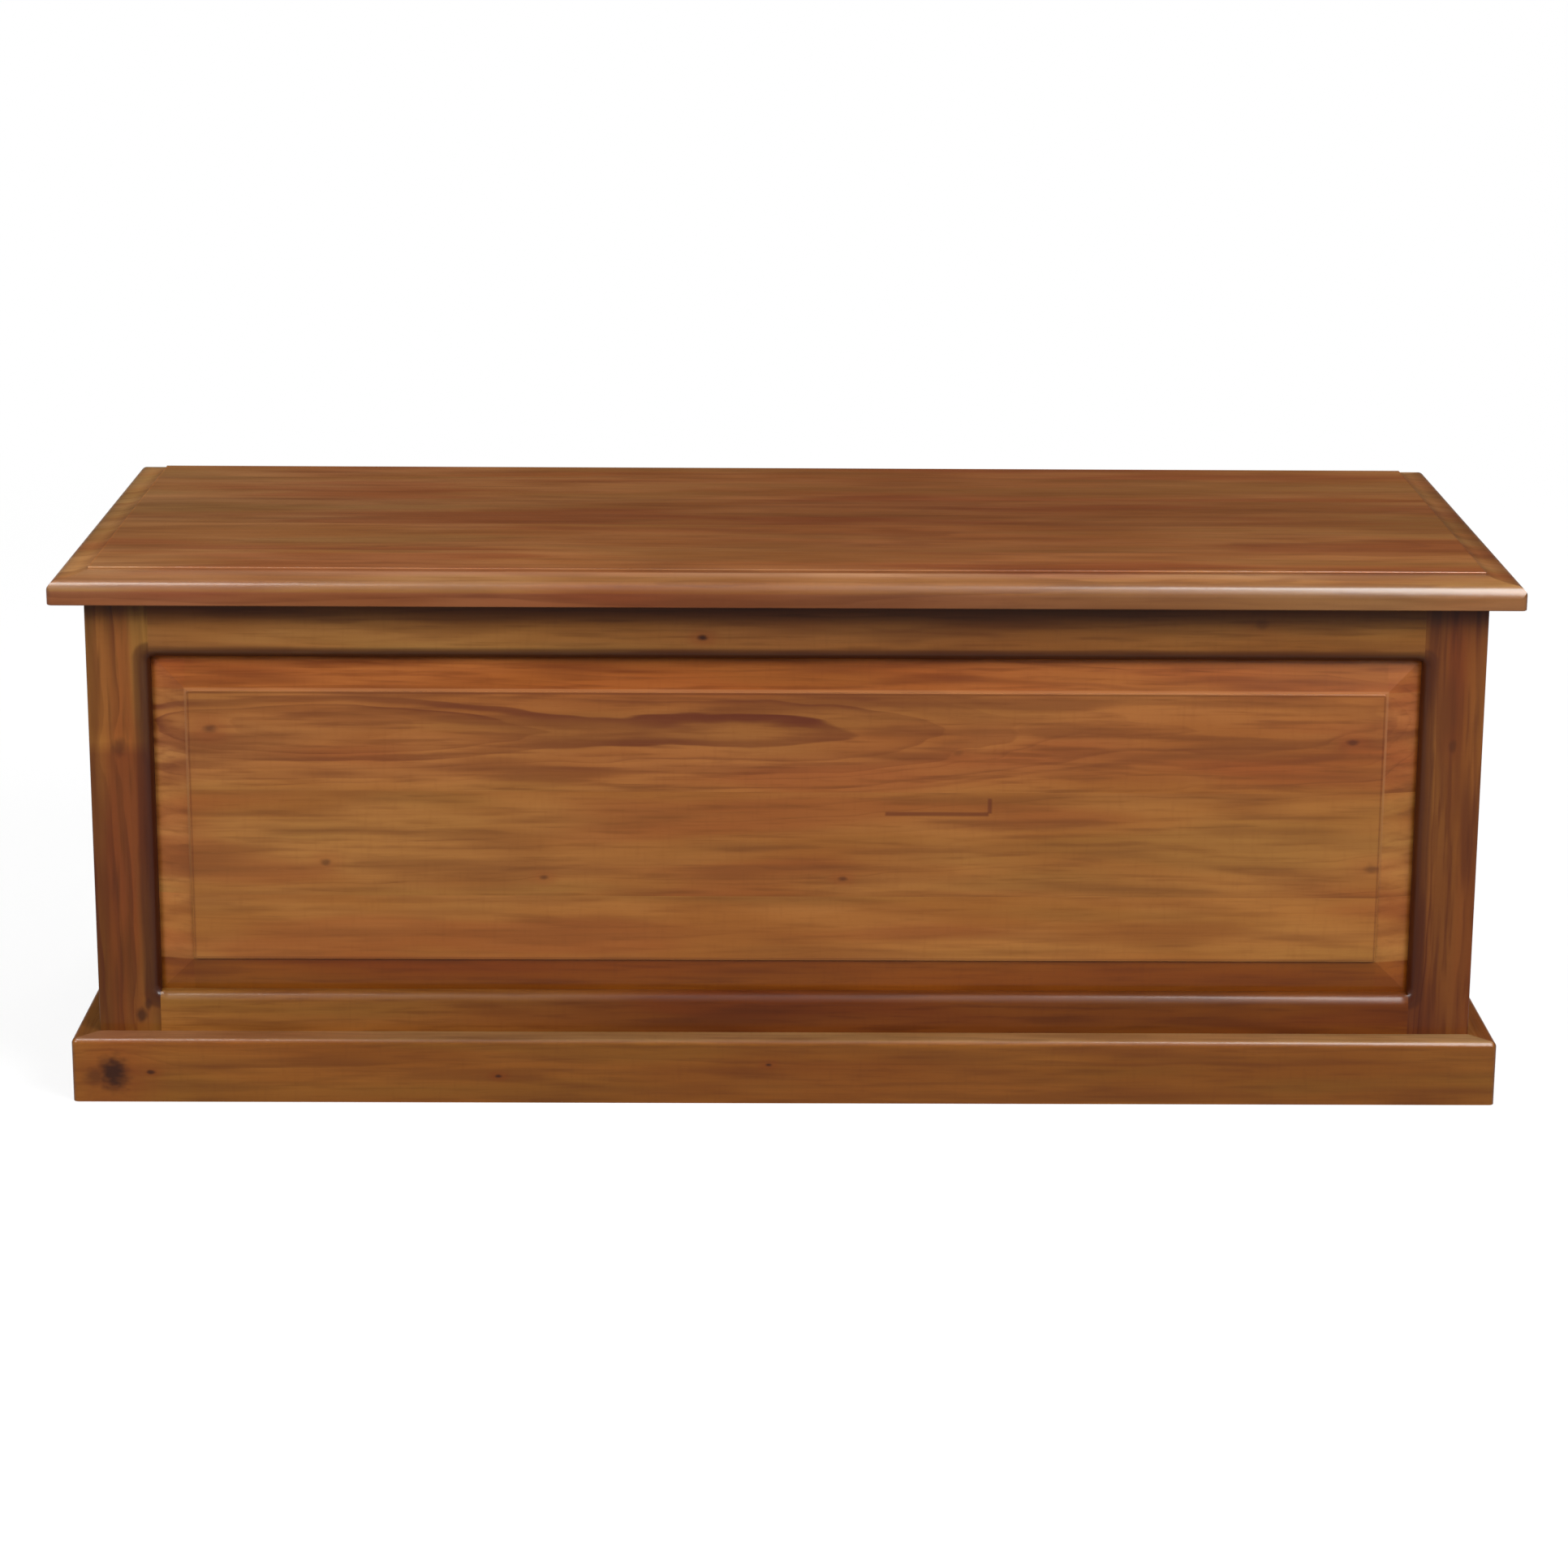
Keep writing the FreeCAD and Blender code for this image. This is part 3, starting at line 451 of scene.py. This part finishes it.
def grainColour(tree, board, at, marks, knots, rings, lineStrength):
    # pale and middle patches, drifting towards olive and red, then the marks, each over the ones before
    shades = []
    for mark, start, full, most, paint in (oliveTint, ("hue", *redRange, board["red"], "red")):
        shades.append((addNode(tree, "MapRange", (marks[mark], start, full, 0.0, most), **soft), paint))
    least, most = (board["contrast"] * strength for strength in boldStrength)
    bold = addNode(tree, "MapRange", (lineStrength, 0.0, 1.0, least, most))
    for mark, start, full, most, paint in boldTints:
        share = addNode(tree, "MapRange", (marks[mark], start, full, 0.0, most), **soft)
        shades.append((addNode(tree, "Math", (share, bold), operation="MULTIPLY"), paint))
    shades += yearShades(tree, marks, rings, lineStrength)
    for mark, start, full, most, paint in fineTints:
        share = addNode(tree, "MapRange", (marks[mark], start, full, 0.0, most * board["fine"]), **soft)
        shades.append((share, paint))
    if board["knots"]:
        shades += [(knots["halo"], "red"), (knots["core"], "knot")]
    shades += [scratchShade(tree, at["flat"], *scratch) for scratch in board["scratches"]]
    patches = addNode(tree, "MapRange", (marks["patch"], *patchRange), **soft)
    colour = linearColour(woodPaints["middle"])
    for share, paint in [(patches, "pale"), *shades]:
        colour = addNode(tree, "Mix", {"Factor": share, "A": colour, "B": linearColour(woodPaints[paint])},
                         **mixing)
    return colour


def tintAlong(tree, along, stops):
    # how much red, green and blue a tint lets through, at places along the board: the stain, or painted light
    # and shade
    passed, tint = stops[0][0], (*stops[0][1], 1.0)
    for reached, nextTint in stops[1:]:
        share = addNode(tree, "MapRange", (along, passed, reached))
        tint = addNode(tree, "Mix", {"Factor": share, "A": tint, "B": (*nextTint, 1.0)}, **mixing)
        passed = reached
    return tint


def stainAndShadeFrame(tree, board, at, colour, here, run, sunk):
    # the router opened the grain round each panel, where the stain lies dark; the darkening also paints the
    # recess's shade, deepest near the opening
    beside = addNode(tree, "Math", (run, here["halfOpening"]), operation="SUBTRACT")
    beside = addNode(tree, "Math", (beside, 0.0), operation="MAXIMUM")
    over = addNode(tree, "Math", (at["height"], panelPlaces["openingHigh"]), operation="SUBTRACT")
    under = addNode(tree, "Math", (panelPlaces["openingLow"], at["height"]), operation="SUBTRACT")
    upright = addNode(tree, "Math", (over, under), operation="MAXIMUM")
    upright = addNode(tree, "Math", (upright, 0.0), operation="MAXIMUM")
    offset = addNode(tree, "CombineXYZ", (beside, upright, 0.0))
    outside = addNode(tree, "VectorMath", (offset,), operation="LENGTH")
    reach = board["routedReach"]
    clear, full = (reach + fade for fade in routedEdge["fade"])
    pooledStainAndShade = addNode(tree, "MapRange", (outside, clear, full, 0.0, board["pooledStainAndShade"]), **soft)
    darker = addNode(tree, "MapRange", (outside, reach, routedEdge["nearOpening"], *routedEdge["strengths"]))
    shown = addNode(tree, "MapRange", (sunk, *routedEdge["depthRange"]), **soft)
    for share in (darker, shown):
        pooledStainAndShade = addNode(tree, "Math", (pooledStainAndShade, share), operation="MULTIPLY")
    return addNode(tree, "Mix", {"Factor": pooledStainAndShade, "A": colour, "B": linearColour(woodPaints["poolAndRecessShade"])},
                   **mixing)


def stainAndPaintLightPanel(tree, board, at, marks, colour, here, run, sunk):
    # the bevels' tints, the end grain in stripes, with painted shade on the low bevel and a painted highlight
    # at the high bevel's lip; the field has a dark line of painted shade within its edge and a painted
    # highlight on its arris
    plain = colour
    beside = addNode(tree, "Math", (run, here["halfField"]), operation="SUBTRACT")
    above = addNode(tree, "Math", (at["height"], panelPlaces["fieldHigh"]), operation="SUBTRACT")
    below = addNode(tree, "Math", (panelPlaces["fieldLow"], at["height"]), operation="SUBTRACT")
    toMiddle = addNode(tree, "MapRange", (at["x"], *bevel["lowMiddleRange"]))
    low = addNode(tree, "Mix", {"Factor": toMiddle, "A": bevel["lowBevelShade"], "B": bevel["lowBevelMiddleShade"]},
                  **mixing)
    stripes = addNode(tree, "MapRange", (marks["band"], *bevel["stripeRange"]), **soft)
    stripes = addNode(tree, "Mix", {"Factor": stripes, "A": board["bevelPale"], "B": board["bevelDark"]},
                      **mixing)
    for past, (start, full), tint in ((below, bevel["turn"], low),
                                      (above, bevel["turn"], bevel["highTint"]),
                                      (above, bevel["lipHighlightRange"], bevel["lipHighlight"]),
                                      (beside, bevel["sideTurn"], stripes)):
        share = addNode(tree, "MapRange", (past, start, full), **soft)
        colour = addNode(tree, "Mix", {"Factor": share, "A": colour, "B": tint}, **tinting)
    edge = addNode(tree, "Math", (beside, above), operation="MAXIMUM")
    edge = addNode(tree, "Math", (edge, below), operation="MAXIMUM")
    for paint, line in fieldLines.items():
        drawn = addNode(tree, "MapRange", (edge, *line["rise"], 0.0, line["most"]), **soft)
        fall = addNode(tree, "MapRange", (edge, *line["fall"]), **soft)
        drawn = addNode(tree, "Math", (drawn, fall), operation="MULTIPLY")
        if "heights" in line:
            share = addNode(tree, "MapRange", (at["height"], *line["heights"]), **soft)
            drawn = addNode(tree, "Math", (drawn, share), operation="MULTIPLY")
        colour = addNode(tree, "Mix", {"Factor": drawn, "A": colour, "B": linearColour(woodPaints[paint])},
                         **mixing)
    shown = addNode(tree, "MapRange", (sunk, *bevel["depthRange"]))
    return addNode(tree, "Mix", {"Factor": shown, "A": plain, "B": colour}, **mixing)


def stainAndShadeSides(tree, board, at, marks, colour):
    for side, run, out in (("front", at["x"], at["y"]), ("end", at["y"], at["x"])):
        if side not in board["sides"]:
            continue
        here = panelPlaces[side]
        run = addNode(tree, "Math", (run,), operation="ABSOLUTE")
        out = addNode(tree, "Math", (out,), operation="ABSOLUTE")
        sunk = addNode(tree, "Math", (here["face"], out), operation="SUBTRACT")
        if board["panel"]:
            colour = stainAndPaintLightPanel(tree, board, at, marks, colour, here, run, sunk)
        else:
            colour = stainAndShadeFrame(tree, board, at, colour, here, run, sunk)
    return colour


def tintAndPaintLightByHeight(tree, board, at, colour):
    # tints by height, most of them painted light and shade: the lid's painted shadow, and painted highlights,
    # sheen and reflections on mouldings and ledges
    edge = noTint
    for clearHeight, fullHeight, stops in board["heightTintsAndPaintedLight"]:
        share = addNode(tree, "MapRange", (at["height"], clearHeight, fullHeight), **soft)
        edge = addNode(tree, "Mix", {"Factor": share, "A": edge, "B": tintAlong(tree, at["along"], stops)},
                       **mixing)
    return addNode(tree, "Mix", {"Factor": 1.0, "A": colour, "B": edge}, **tinting)


def stainEndsAndPaintLight(tree, board, at, colour, lacquer):
    # across the grain, outside the mitres, the moulding took the stain otherwise and soaked the lacquer up;
    # the tints also hold painted light at the left end and painted shade at the right
    long = addNode(tree, "Math", (at["along"],), operation="ABSOLUTE")
    wide = addNode(tree, "Math", (at["across"],), operation="ABSOLUTE")
    beyond = addNode(tree, "Math", (long, wide), operation="SUBTRACT")
    beyond = addNode(tree, "Math", (beyond, board["mitre"]), operation="GREATER_THAN")
    raised = addNode(tree, "Math", (at["height"], board["underside"]), operation="GREATER_THAN")
    beyond = addNode(tree, "Math", (beyond, raised), operation="MULTIPLY")
    end = addNode(tree, "Math", (at["along"], beyond), operation="MULTIPLY")
    for start, full, tint in board["endStainsAndPaintedLight"]:
        share = addNode(tree, "MapRange", (end, start, full), **soft)
        colour = addNode(tree, "Mix", {"Factor": share, "A": colour, "B": (*tint, 1.0)}, **tinting)
    end = addNode(tree, "Math", (long, beyond), operation="MULTIPLY")
    start, full = board["endStainsAndPaintedLight"][0][:2]
    lacquer = addNode(tree, "MapRange", (end, start, full, lacquer, surface["endLacquer"]))
    return colour, lacquer


def woodMaterial(name, ownSettings):
    board = {**plainWood, **ownSettings}
    material, tree = newMaterial(name)
    at = boardPlaces(tree, board["axes"])
    pith, depth, tone, lineStrength = chooseStave(tree, at["across"], board["staves"])
    marks = grainNoise(tree, at, tone, board["seed"])
    knots = knotShares(tree, at, marks, board["knots"])
    radius = pithDistance(tree, board, at, pith, depth)
    rings = ringMarks(tree, board, at, marks, radius, knots["push"])
    colour = grainColour(tree, board, at, marks, knots, rings, lineStrength)

    stain = tintAlong(tree, at["along"], board["stain"])
    colour = addNode(tree, "Mix", {"Factor": 1.0, "A": colour, "B": stain}, **tinting)
    tone = addNode(tree, "Math", (tone, staveTone["gain"], staveTone["base"]), operation="MULTIPLY_ADD")
    colour = addNode(tree, "VectorMath", {0: colour, "Scale": tone}, operation="SCALE")
    colour = stainAndShadeSides(tree, board, at, marks, colour)
    if board["heightTintsAndPaintedLight"]:
        colour = tintAndPaintLightByHeight(tree, board, at, colour)

    lacquer = board["lacquer"]
    if board["dullBelow"]:
        lacquer = addNode(tree, "MapRange", (at["height"], board["dullBelow"] - surface["dullTurn"],
                                             board["dullBelow"], surface["dullLacquer"], lacquer))
    if board["endStainsAndPaintedLight"]:
        colour, lacquer = stainEndsAndPaintLight(tree, board, at, colour, lacquer)

    relief = addNode(tree, "Math", (marks["pore"], surface["poreDepth"], marks["fibre"]),
                     operation="MULTIPLY_ADD")
    fibreBump = addNode(tree, "Bump", {"Height": relief, **surface["fibreBump"]})
    flowBump = addNode(tree, "Bump", {"Height": marks["lacquerFlow"], "Normal": fibreBump,
                                      **surface["flowBump"]})
    roughness = addNode(tree, "MapRange", (marks["fibre"], *surface["roughness"]))
    shader = addNode(tree, "BsdfPrincipled", {
        "Base Color": colour, "Roughness": roughness, "Normal": fibreBump,
        "IOR": surface["refraction"], "Specular IOR Level": surface["specular"],
        "Coat Weight": lacquer, "Coat Roughness": board["lacquerRoughness"],
        "Coat IOR": surface["refraction"], "Coat Normal": flowBump})
    addNode(tree, "OutputMaterial", (shader,))
    return material


# Which of X, Y, Z runs along the grain, across the board and through it
alongX, alongY, upZ = (0, 2, 1), (1, 2, 0), (2, 0, 1)
flatX, flatY = (0, 1, 2), (1, 0, 2)

# What a board has where it says nothing else. archAt, bow, swell: where the pith comes nearest, how fast it
# bends away, and the height, length and crest of its waves. taper: how the rings widen along the board.
# linesTo: how far from the pith its lines have weakened. sides, panel: where the board stands round a panel,
# or is one. routedReach, pooledStainAndShade: how wide its routed edge is, and how much stain lies there,
# with
# painted shade of the recess. dullBelow: the height under which the lacquer is dull.
plainWood = {
    "contrast": 1.0, "fine": 0.75, "red": 0.45, "knots": [], "scratches": [],
    "archAt": 0.0, "bow": 0.02, "swell": (0.004, 0.5, 0.0), "taper": 0.01,
    "ringSpacing": 0.0078, "linesTo": 0.4,
    "sides": (), "panel": False, "bevelPale": noTint, "bevelDark": noTint,
    "routedReach": 0.011, "pooledStainAndShade": 1.0,
    "stain": [(0.0, (0.6, 0.55, 0.55))], "heightTintsAndPaintedLight": [], "endStainsAndPaintedLight": [],
    "lacquer": 0.2, "lacquerRoughness": 0.16, "dullBelow": None,
}

# Both front posts have painted shade under the lid's overhang, and at their very tops
frontPost = {
    "axes": upZ, "face": 0.223, "sides": ("front", "end"), "contrast": 1.4, "fine": 0.5, "lacquer": 0.14,
    "heightTintsAndPaintedLight": [(0.426, 0.443, [(0.0, (0.52, 0.42, 0.34))]),
                   (0.4468, 0.4472, [(0.0, (0.68, 0.59, 0.48))])],
}

# face: how far the shown face stands from the middle of the chest. staves: start across the board, pith
# across, pith depth, tone, and strength of lines. knots: place along and across, size, strength. scratches:
# place along and across, half length, half width. stain: a place along the board, and how much red, green and
# blue the stain lets through there. heightTintsAndPaintedLight: the heights where each is clear and full, and
# its tint along the board; most are painted light and shade. endStainsAndPaintedLight: where along the board
# each is clear and full, and its tint, outside the mitres, which start at mitre, and above the underside; the
# end grain's stain, with painted light and shade on the two ends.
boards = {
    "lid_board": {
        "axes": flatX, "seed": 1, "face": 0.476, "contrast": 0.95, "fine": 0.4, "red": 0.48,
        "staves": [(-0.25, (-0.28, 0.1, 0.57), 0.2), (-0.15, (-0.1, 0.1, 0.43), 0.15),
                   (-0.04, (-0.16, 0.15, 0.28), 0.15), (0.07, (-0.02, 0.1, 0.42), 0.15),
                   (0.17, (-0.3, 0.1, 0.46), 0.2)],
        "stain": [(-0.63, (0.93, 1.03, 1.8)), (-0.2, (0.81, 0.76, 1.07)),
                  (0.1, (0.68, 0.555, 0.71)), (0.63, (0.79, 0.77, 1.06))],
        "heightTintsAndPaintedLight": [
            # a painted highlight on the step's arris, and painted shade at its foot
            (0.47598, 0.4759, [(-0.6, (1.2, 1.3, 1.4)), (0.0, (1.1, 1.3, 1.6)), (0.5, (1.4, 1.5, 1.6))]),
            (0.4751, 0.4747, [(-0.6, (0.88, 0.92, 0.98)), (0.6, (0.68, 0.7, 0.72))]),
            # painted sheen on the cove
            (0.4735, 0.4729, [(-0.6, (0.9, 1.0, 1.1)), (0.1, (1.45, 2.1, 3.7)), (0.6, (0.95, 1.1, 1.2))]),
            (0.4725, 0.4705, [(0.0, (1.02, 1.2, 1.3)), (0.6, (1.25, 1.45, 1.6))]),
            # painted shade on the nose, and on the face below it painted shade that turns to painted
            # reflection towards the right
            (0.4705, 0.4665, [(0.0, (0.86, 0.9, 0.78))]),
            (0.4625, 0.4603, [(-0.3, (0.76, 0.62, 0.7)), (0.1, (0.75, 0.73, 1.0)),
                              (0.45, (0.98, 1.12, 1.5))]),
        ],
        # the end grain's stain, lighter at the left end's step, painted light, and darker over the right end,
        # painted shade
        "endStainsAndPaintedLight": [(0.5965, 0.5985, (0.86, 0.8, 0.8)), (0.604, 0.622, (0.66, 0.6, 0.6)),
                      (-0.5965, -0.5985, (1.18, 1.08, 0.95)), (-0.612, -0.624, (0.82, 0.85, 0.95))],
        "mitre": 0.38, "underside": 0.4493,
        "lacquer": 0.3, "lacquerRoughness": 0.24, "dullBelow": 0.4603},
    "panel_front": {
        "axes": alongX, "seed": 4, "face": 0.218, "sides": ("front",), "panel": True,
        "archAt": -0.6, "bow": 0.027, "swell": (0.005, 0.42, 0.03), "taper": 0.02, "linesTo": 0.045,
        "bevelPale": (1.14, 1.16, 1.3, 1.0), "bevelDark": (0.94, 0.86, 0.88, 1.0),
        "staves": [(0.08, (0.6, 0.1, 0.53), 0.25), (0.182, (0.55, 0.1, 0.44), 0.6),
                   (0.277, (0.334, 0.016, 0.49), 1.0)],
        "knots": [(-0.4994, 0.3323, 0.0055, 0.55), (-0.4012, 0.2123, 0.0042, 0.5),
                  (-0.2117, 0.1988, 0.0032, 0.55), (0.0493, 0.1982, 0.003, 0.6),
                  (0.4911, 0.3236, 0.0042, 0.6), (0.5115, 0.2087, 0.006, 0.4),
                  (0.1482, 0.3128, 0.0036, 0.25)],
        "scratches": [(0.131, 0.2576, 0.044, 0.001), (0.177, 0.265, 0.0008, 0.006)],
        # lighter at the left bevel, painted light
        "stain": [(-0.56, (1.27, 1.33, 1.5)), (-0.519, (1.08, 1.1, 1.2)), (0.0, (1.01, 0.94, 0.94)),
                  (0.56, (1.05, 1.02, 0.98))],
        # darker and redder towards the panel's top
        "heightTintsAndPaintedLight": [(0.27, 0.3, [(0.0, (0.97, 0.88, 0.95))])]},
    "rail_front_top": {
        "axes": alongX, "seed": 8, "face": 0.223, "sides": ("front",), "red": 0.1, "contrast": 1.5,
        "staves": [(0.39, (0.8, 0.1, 0.5), 0.2)],
        "knots": [(-0.0729, 0.4163, 0.0035, 0.9), (0.4076, 0.4297, 0.006, 0.35)],
        "stain": [(-0.56, (1.0, 1.12, 1.5)), (-0.25, (0.92, 1.0, 1.2)), (0.0, (0.64, 0.58, 0.64)),
                  (0.3, (0.68, 0.66, 0.65)), (0.56, (0.88, 0.9, 0.85))],
        # painted shadow of the lid over the rail's upper part
        "heightTintsAndPaintedLight": [(0.418, 0.443, [(0.0, (0.36, 0.24, 0.12))])],
        "lacquer": 0.12},
    "rail_front_bottom": {
        "axes": alongX, "seed": 9, "face": 0.223, "sides": ("front",), "contrast": 1.4,
        "staves": [(0.0, (0.4, 0.05, 0.5), 0.25)],
        "stain": [(-0.56, (0.87, 0.85, 0.77)), (-0.25, (0.62, 0.51, 0.42)), (0.0, (0.41, 0.26, 0.14)),
                  (0.56, (0.49, 0.34, 0.14))],
        "pooledStainAndShade": 0.25, "lacquer": 0.09},
    "post_front_left": {
        **frontPost, "seed": 16, "red": 0.8, "routedReach": 0.015, "ringSpacing": 0.013,
        "staves": [(-0.7, (-0.66, 0.06, 0.5), 0.9)],
        "knots": [(0.3169, -0.5771, 0.009, 0.5), (0.0729, -0.5656, 0.006, 0.7),
                  (0.0829, -0.5596, 0.005, 0.6)],
        "stain": [(0.0, (0.62, 0.6, 0.48)), (0.14, (0.68, 0.63, 0.52)), (0.19, (0.64, 0.56, 0.6)),
                  (0.31, (0.72, 0.68, 0.72)), (0.322, (1.05, 1.2, 1.2)), (0.336, (0.9, 0.96, 0.96)),
                  (0.45, (0.94, 1.12, 1.2))]},
    "post_front_right": {
        **frontPost, "seed": 17, "red": 0.9, "routedReach": 0.013, "ringSpacing": 0.012,
        "staves": [(0.5, (0.68, 0.05, 0.5), 0.9)],
        "knots": [(0.3217, 0.577, 0.005, 0.35)],
        "stain": [(0.0, (0.5, 0.34, 0.26)), (0.2, (0.56, 0.4, 0.3)), (0.32, (0.62, 0.5, 0.38)),
                  (0.45, (0.58, 0.43, 0.34))],
        "pooledStainAndShade": 0.8},
    "plinth_front": {
        "axes": alongX, "seed": 20, "face": 0.245, "red": 0.2, "contrast": 1.1,
        "staves": [(-0.05, (0.3, 0.05, 0.5), 0.3)],
        "knots": [(-0.5885, 0.0265, 0.022, 0.92), (-0.6045, 0.0235, 0.0115, 0.5),
                  (-0.5558, 0.0275, 0.003, 0.8), (-0.2516, 0.0247, 0.0022, 0.8),
                  (-0.0146, 0.0359, 0.0022, 0.8)],
        "stain": [(-0.63, (0.84, 0.75, 0.54)), (-0.2, (0.68, 0.55, 0.34)), (0.63, (0.7, 0.6, 0.38))],
        # painted reflection on the plinth's top ledge, stronger to the right
        "heightTintsAndPaintedLight": [(0.0562, 0.0578, [(-0.5, (0.9, 1.2, 3.4)), (0.55, (1.2, 1.9, 5.5))])],
        "lacquer": 0.17},
}

# The other boards have the even stain, and a single stave: its pith depth, tone and strength of lines
plainStave = {"depth": 0.05, "tone": 0.5, "lines": 0.6}


def plainBoard(axes, seed, face, pith, sides=(), panel=False):
    stave = (-1.0, (pith, plainStave["depth"], plainStave["tone"]), plainStave["lines"])
    return {"axes": axes, "seed": seed, "face": face, "sides": sides, "panel": panel, "staves": [stave]}


boards["panel_rear"] = plainBoard(alongX, seed=5, face=0.21, pith=0.26, sides=("front",), panel=True)
boards["rail_rear_top"] = plainBoard(alongX, seed=10, face=0.223, pith=0.6)
boards["rail_rear_bottom"] = plainBoard(alongX, seed=11, face=0.223, pith=0.3)
boards["plinth_rear"] = plainBoard(alongX, seed=21, face=0.245, pith=0.3)
for hand, more in (("left", 0), ("right", 30)):
    boards["panel_" + hand] = plainBoard(alongY, seed=6 + more, face=0.598, pith=0.3, sides=("end",),
                                         panel=True)
    boards[f"rail_{hand}_top"] = plainBoard(alongY, seed=12 + more, face=0.603, pith=0.6, sides=("end",))
    boards[f"rail_{hand}_bottom"] = plainBoard(alongY, seed=13 + more, face=0.603, pith=0.3, sides=("end",))
    boards["post_rear_" + hand] = plainBoard(upZ, seed=18 + more, face=0.223, pith=0.7, sides=("end",))
    boards["plinth_" + hand] = plainBoard(alongY, seed=22 + more, face=0.625, pith=0.3)
    boards["lid_batten_" + hand] = plainBoard(flatY, seed=2 + more, face=0.431, pith=0.0)
    boards["floor_cleat_" + hand] = plainBoard(alongY, seed=28 + more, face=0.56, pith=0.1)
boards["floor_cleat_front"] = plainBoard(alongX, seed=26, face=0.18, pith=0.1)
boards["floor_cleat_rear"] = plainBoard(alongX, seed=27, face=0.18, pith=0.1)
boards["floor_board"] = plainBoard(flatX, seed=24, face=0.059, pith=0.0)
boards["floor_bearer"] = plainBoard(flatY, seed=25, face=0.03, pith=0.1)


# Metal and felt

# Brass: how wide its rolling lines are, and how many times as long, and how they roughen and emboss it
brassFinish = {
    "dull": "#a3885e",
    "bright": "#bda577",
    "rollingLine": 0.0011,
    "rollingLength": 15,
    "rollingOctaves": 2.0,
    "cloud": 0.011,
    "cloudOctaves": 3.0,
    "roughness": (0.3, 0.7, 0.26, 0.42),
    "bump": {"Strength": 0.15, "Distance": 0.0001},
}
feltFinish = {
    "dark": "#2e1c14",
    "light": "#54392a",
    "fibre": 0.0007,
    "octaves": 3.0,
    "roughness": 0.95,
    "sheen": 0.08,
    "bump": {"Strength": 0.6, "Distance": 0.0003},
}


def brassMaterial(finish):
    # Satin-lacquered brass, rolled and stamped: warm metal with faint rolling lines
    material, tree = newMaterial("satinBrass")
    place = addNode(tree, "TexCoord").outputs["Object"]
    rolling = 1 / finish["rollingLine"]
    scale = (rolling / finish["rollingLength"], rolling, rolling)
    rolled = addNode(tree, "Mapping", {"Vector": place, "Scale": scale})
    lines = addNode(tree, "TexNoise", {"Vector": rolled, "Scale": 1.0, "Detail": finish["rollingOctaves"]})
    cloud = addNode(tree, "TexNoise", {"Vector": place, "Scale": 1 / finish["cloud"],
                                       "Detail": finish["cloudOctaves"]})
    roughness = addNode(tree, "MapRange", (lines, *finish["roughness"]))
    colour = addNode(tree, "Mix", {"Factor": cloud, "A": linearColour(finish["dull"]),
                                   "B": linearColour(finish["bright"])}, **mixing)
    bump = addNode(tree, "Bump", {"Height": lines, **finish["bump"]})
    shader = addNode(tree, "BsdfPrincipled", {
        "Base Color": colour, "Metallic": 1.0, "Roughness": roughness, "Normal": bump})
    addNode(tree, "OutputMaterial", (shader,))
    return material


def feltMaterial(finish):
    # Pressed wool felt: matt, with short tangled fibres
    material, tree = newMaterial("pressedFelt")
    place = addNode(tree, "TexCoord").outputs["Object"]
    fuzz = addNode(tree, "TexNoise", {"Vector": place, "Scale": 1 / finish["fibre"],
                                      "Detail": finish["octaves"]})
    colour = addNode(tree, "Mix", {"Factor": fuzz, "A": linearColour(finish["dark"]),
                                   "B": linearColour(finish["light"])}, **mixing)
    bump = addNode(tree, "Bump", {"Height": fuzz, **finish["bump"]})
    shader = addNode(tree, "BsdfPrincipled", {
        "Base Color": colour, "Roughness": finish["roughness"], "Sheen Weight": finish["sheen"],
        "Normal": bump})
    addNode(tree, "OutputMaterial", (shader,))
    return material


# Each piece gets its material


def finishNode(node, material):
    node.data.materials.clear()
    node.data.materials.append(material)


brass = brassMaterial(brassFinish)
felt = feltMaterial(feltFinish)
for nodeName, node in nodes.items():
    if nodeName in boards:
        finishNode(node, woodMaterial("lacqueredHardwood_" + nodeName, boards[nodeName]))
    elif nodeName == "lid_bumpers":
        finishNode(node, felt)
    else:
        finishNode(node, brass)
print("materials made:", len(bpy.data.materials))
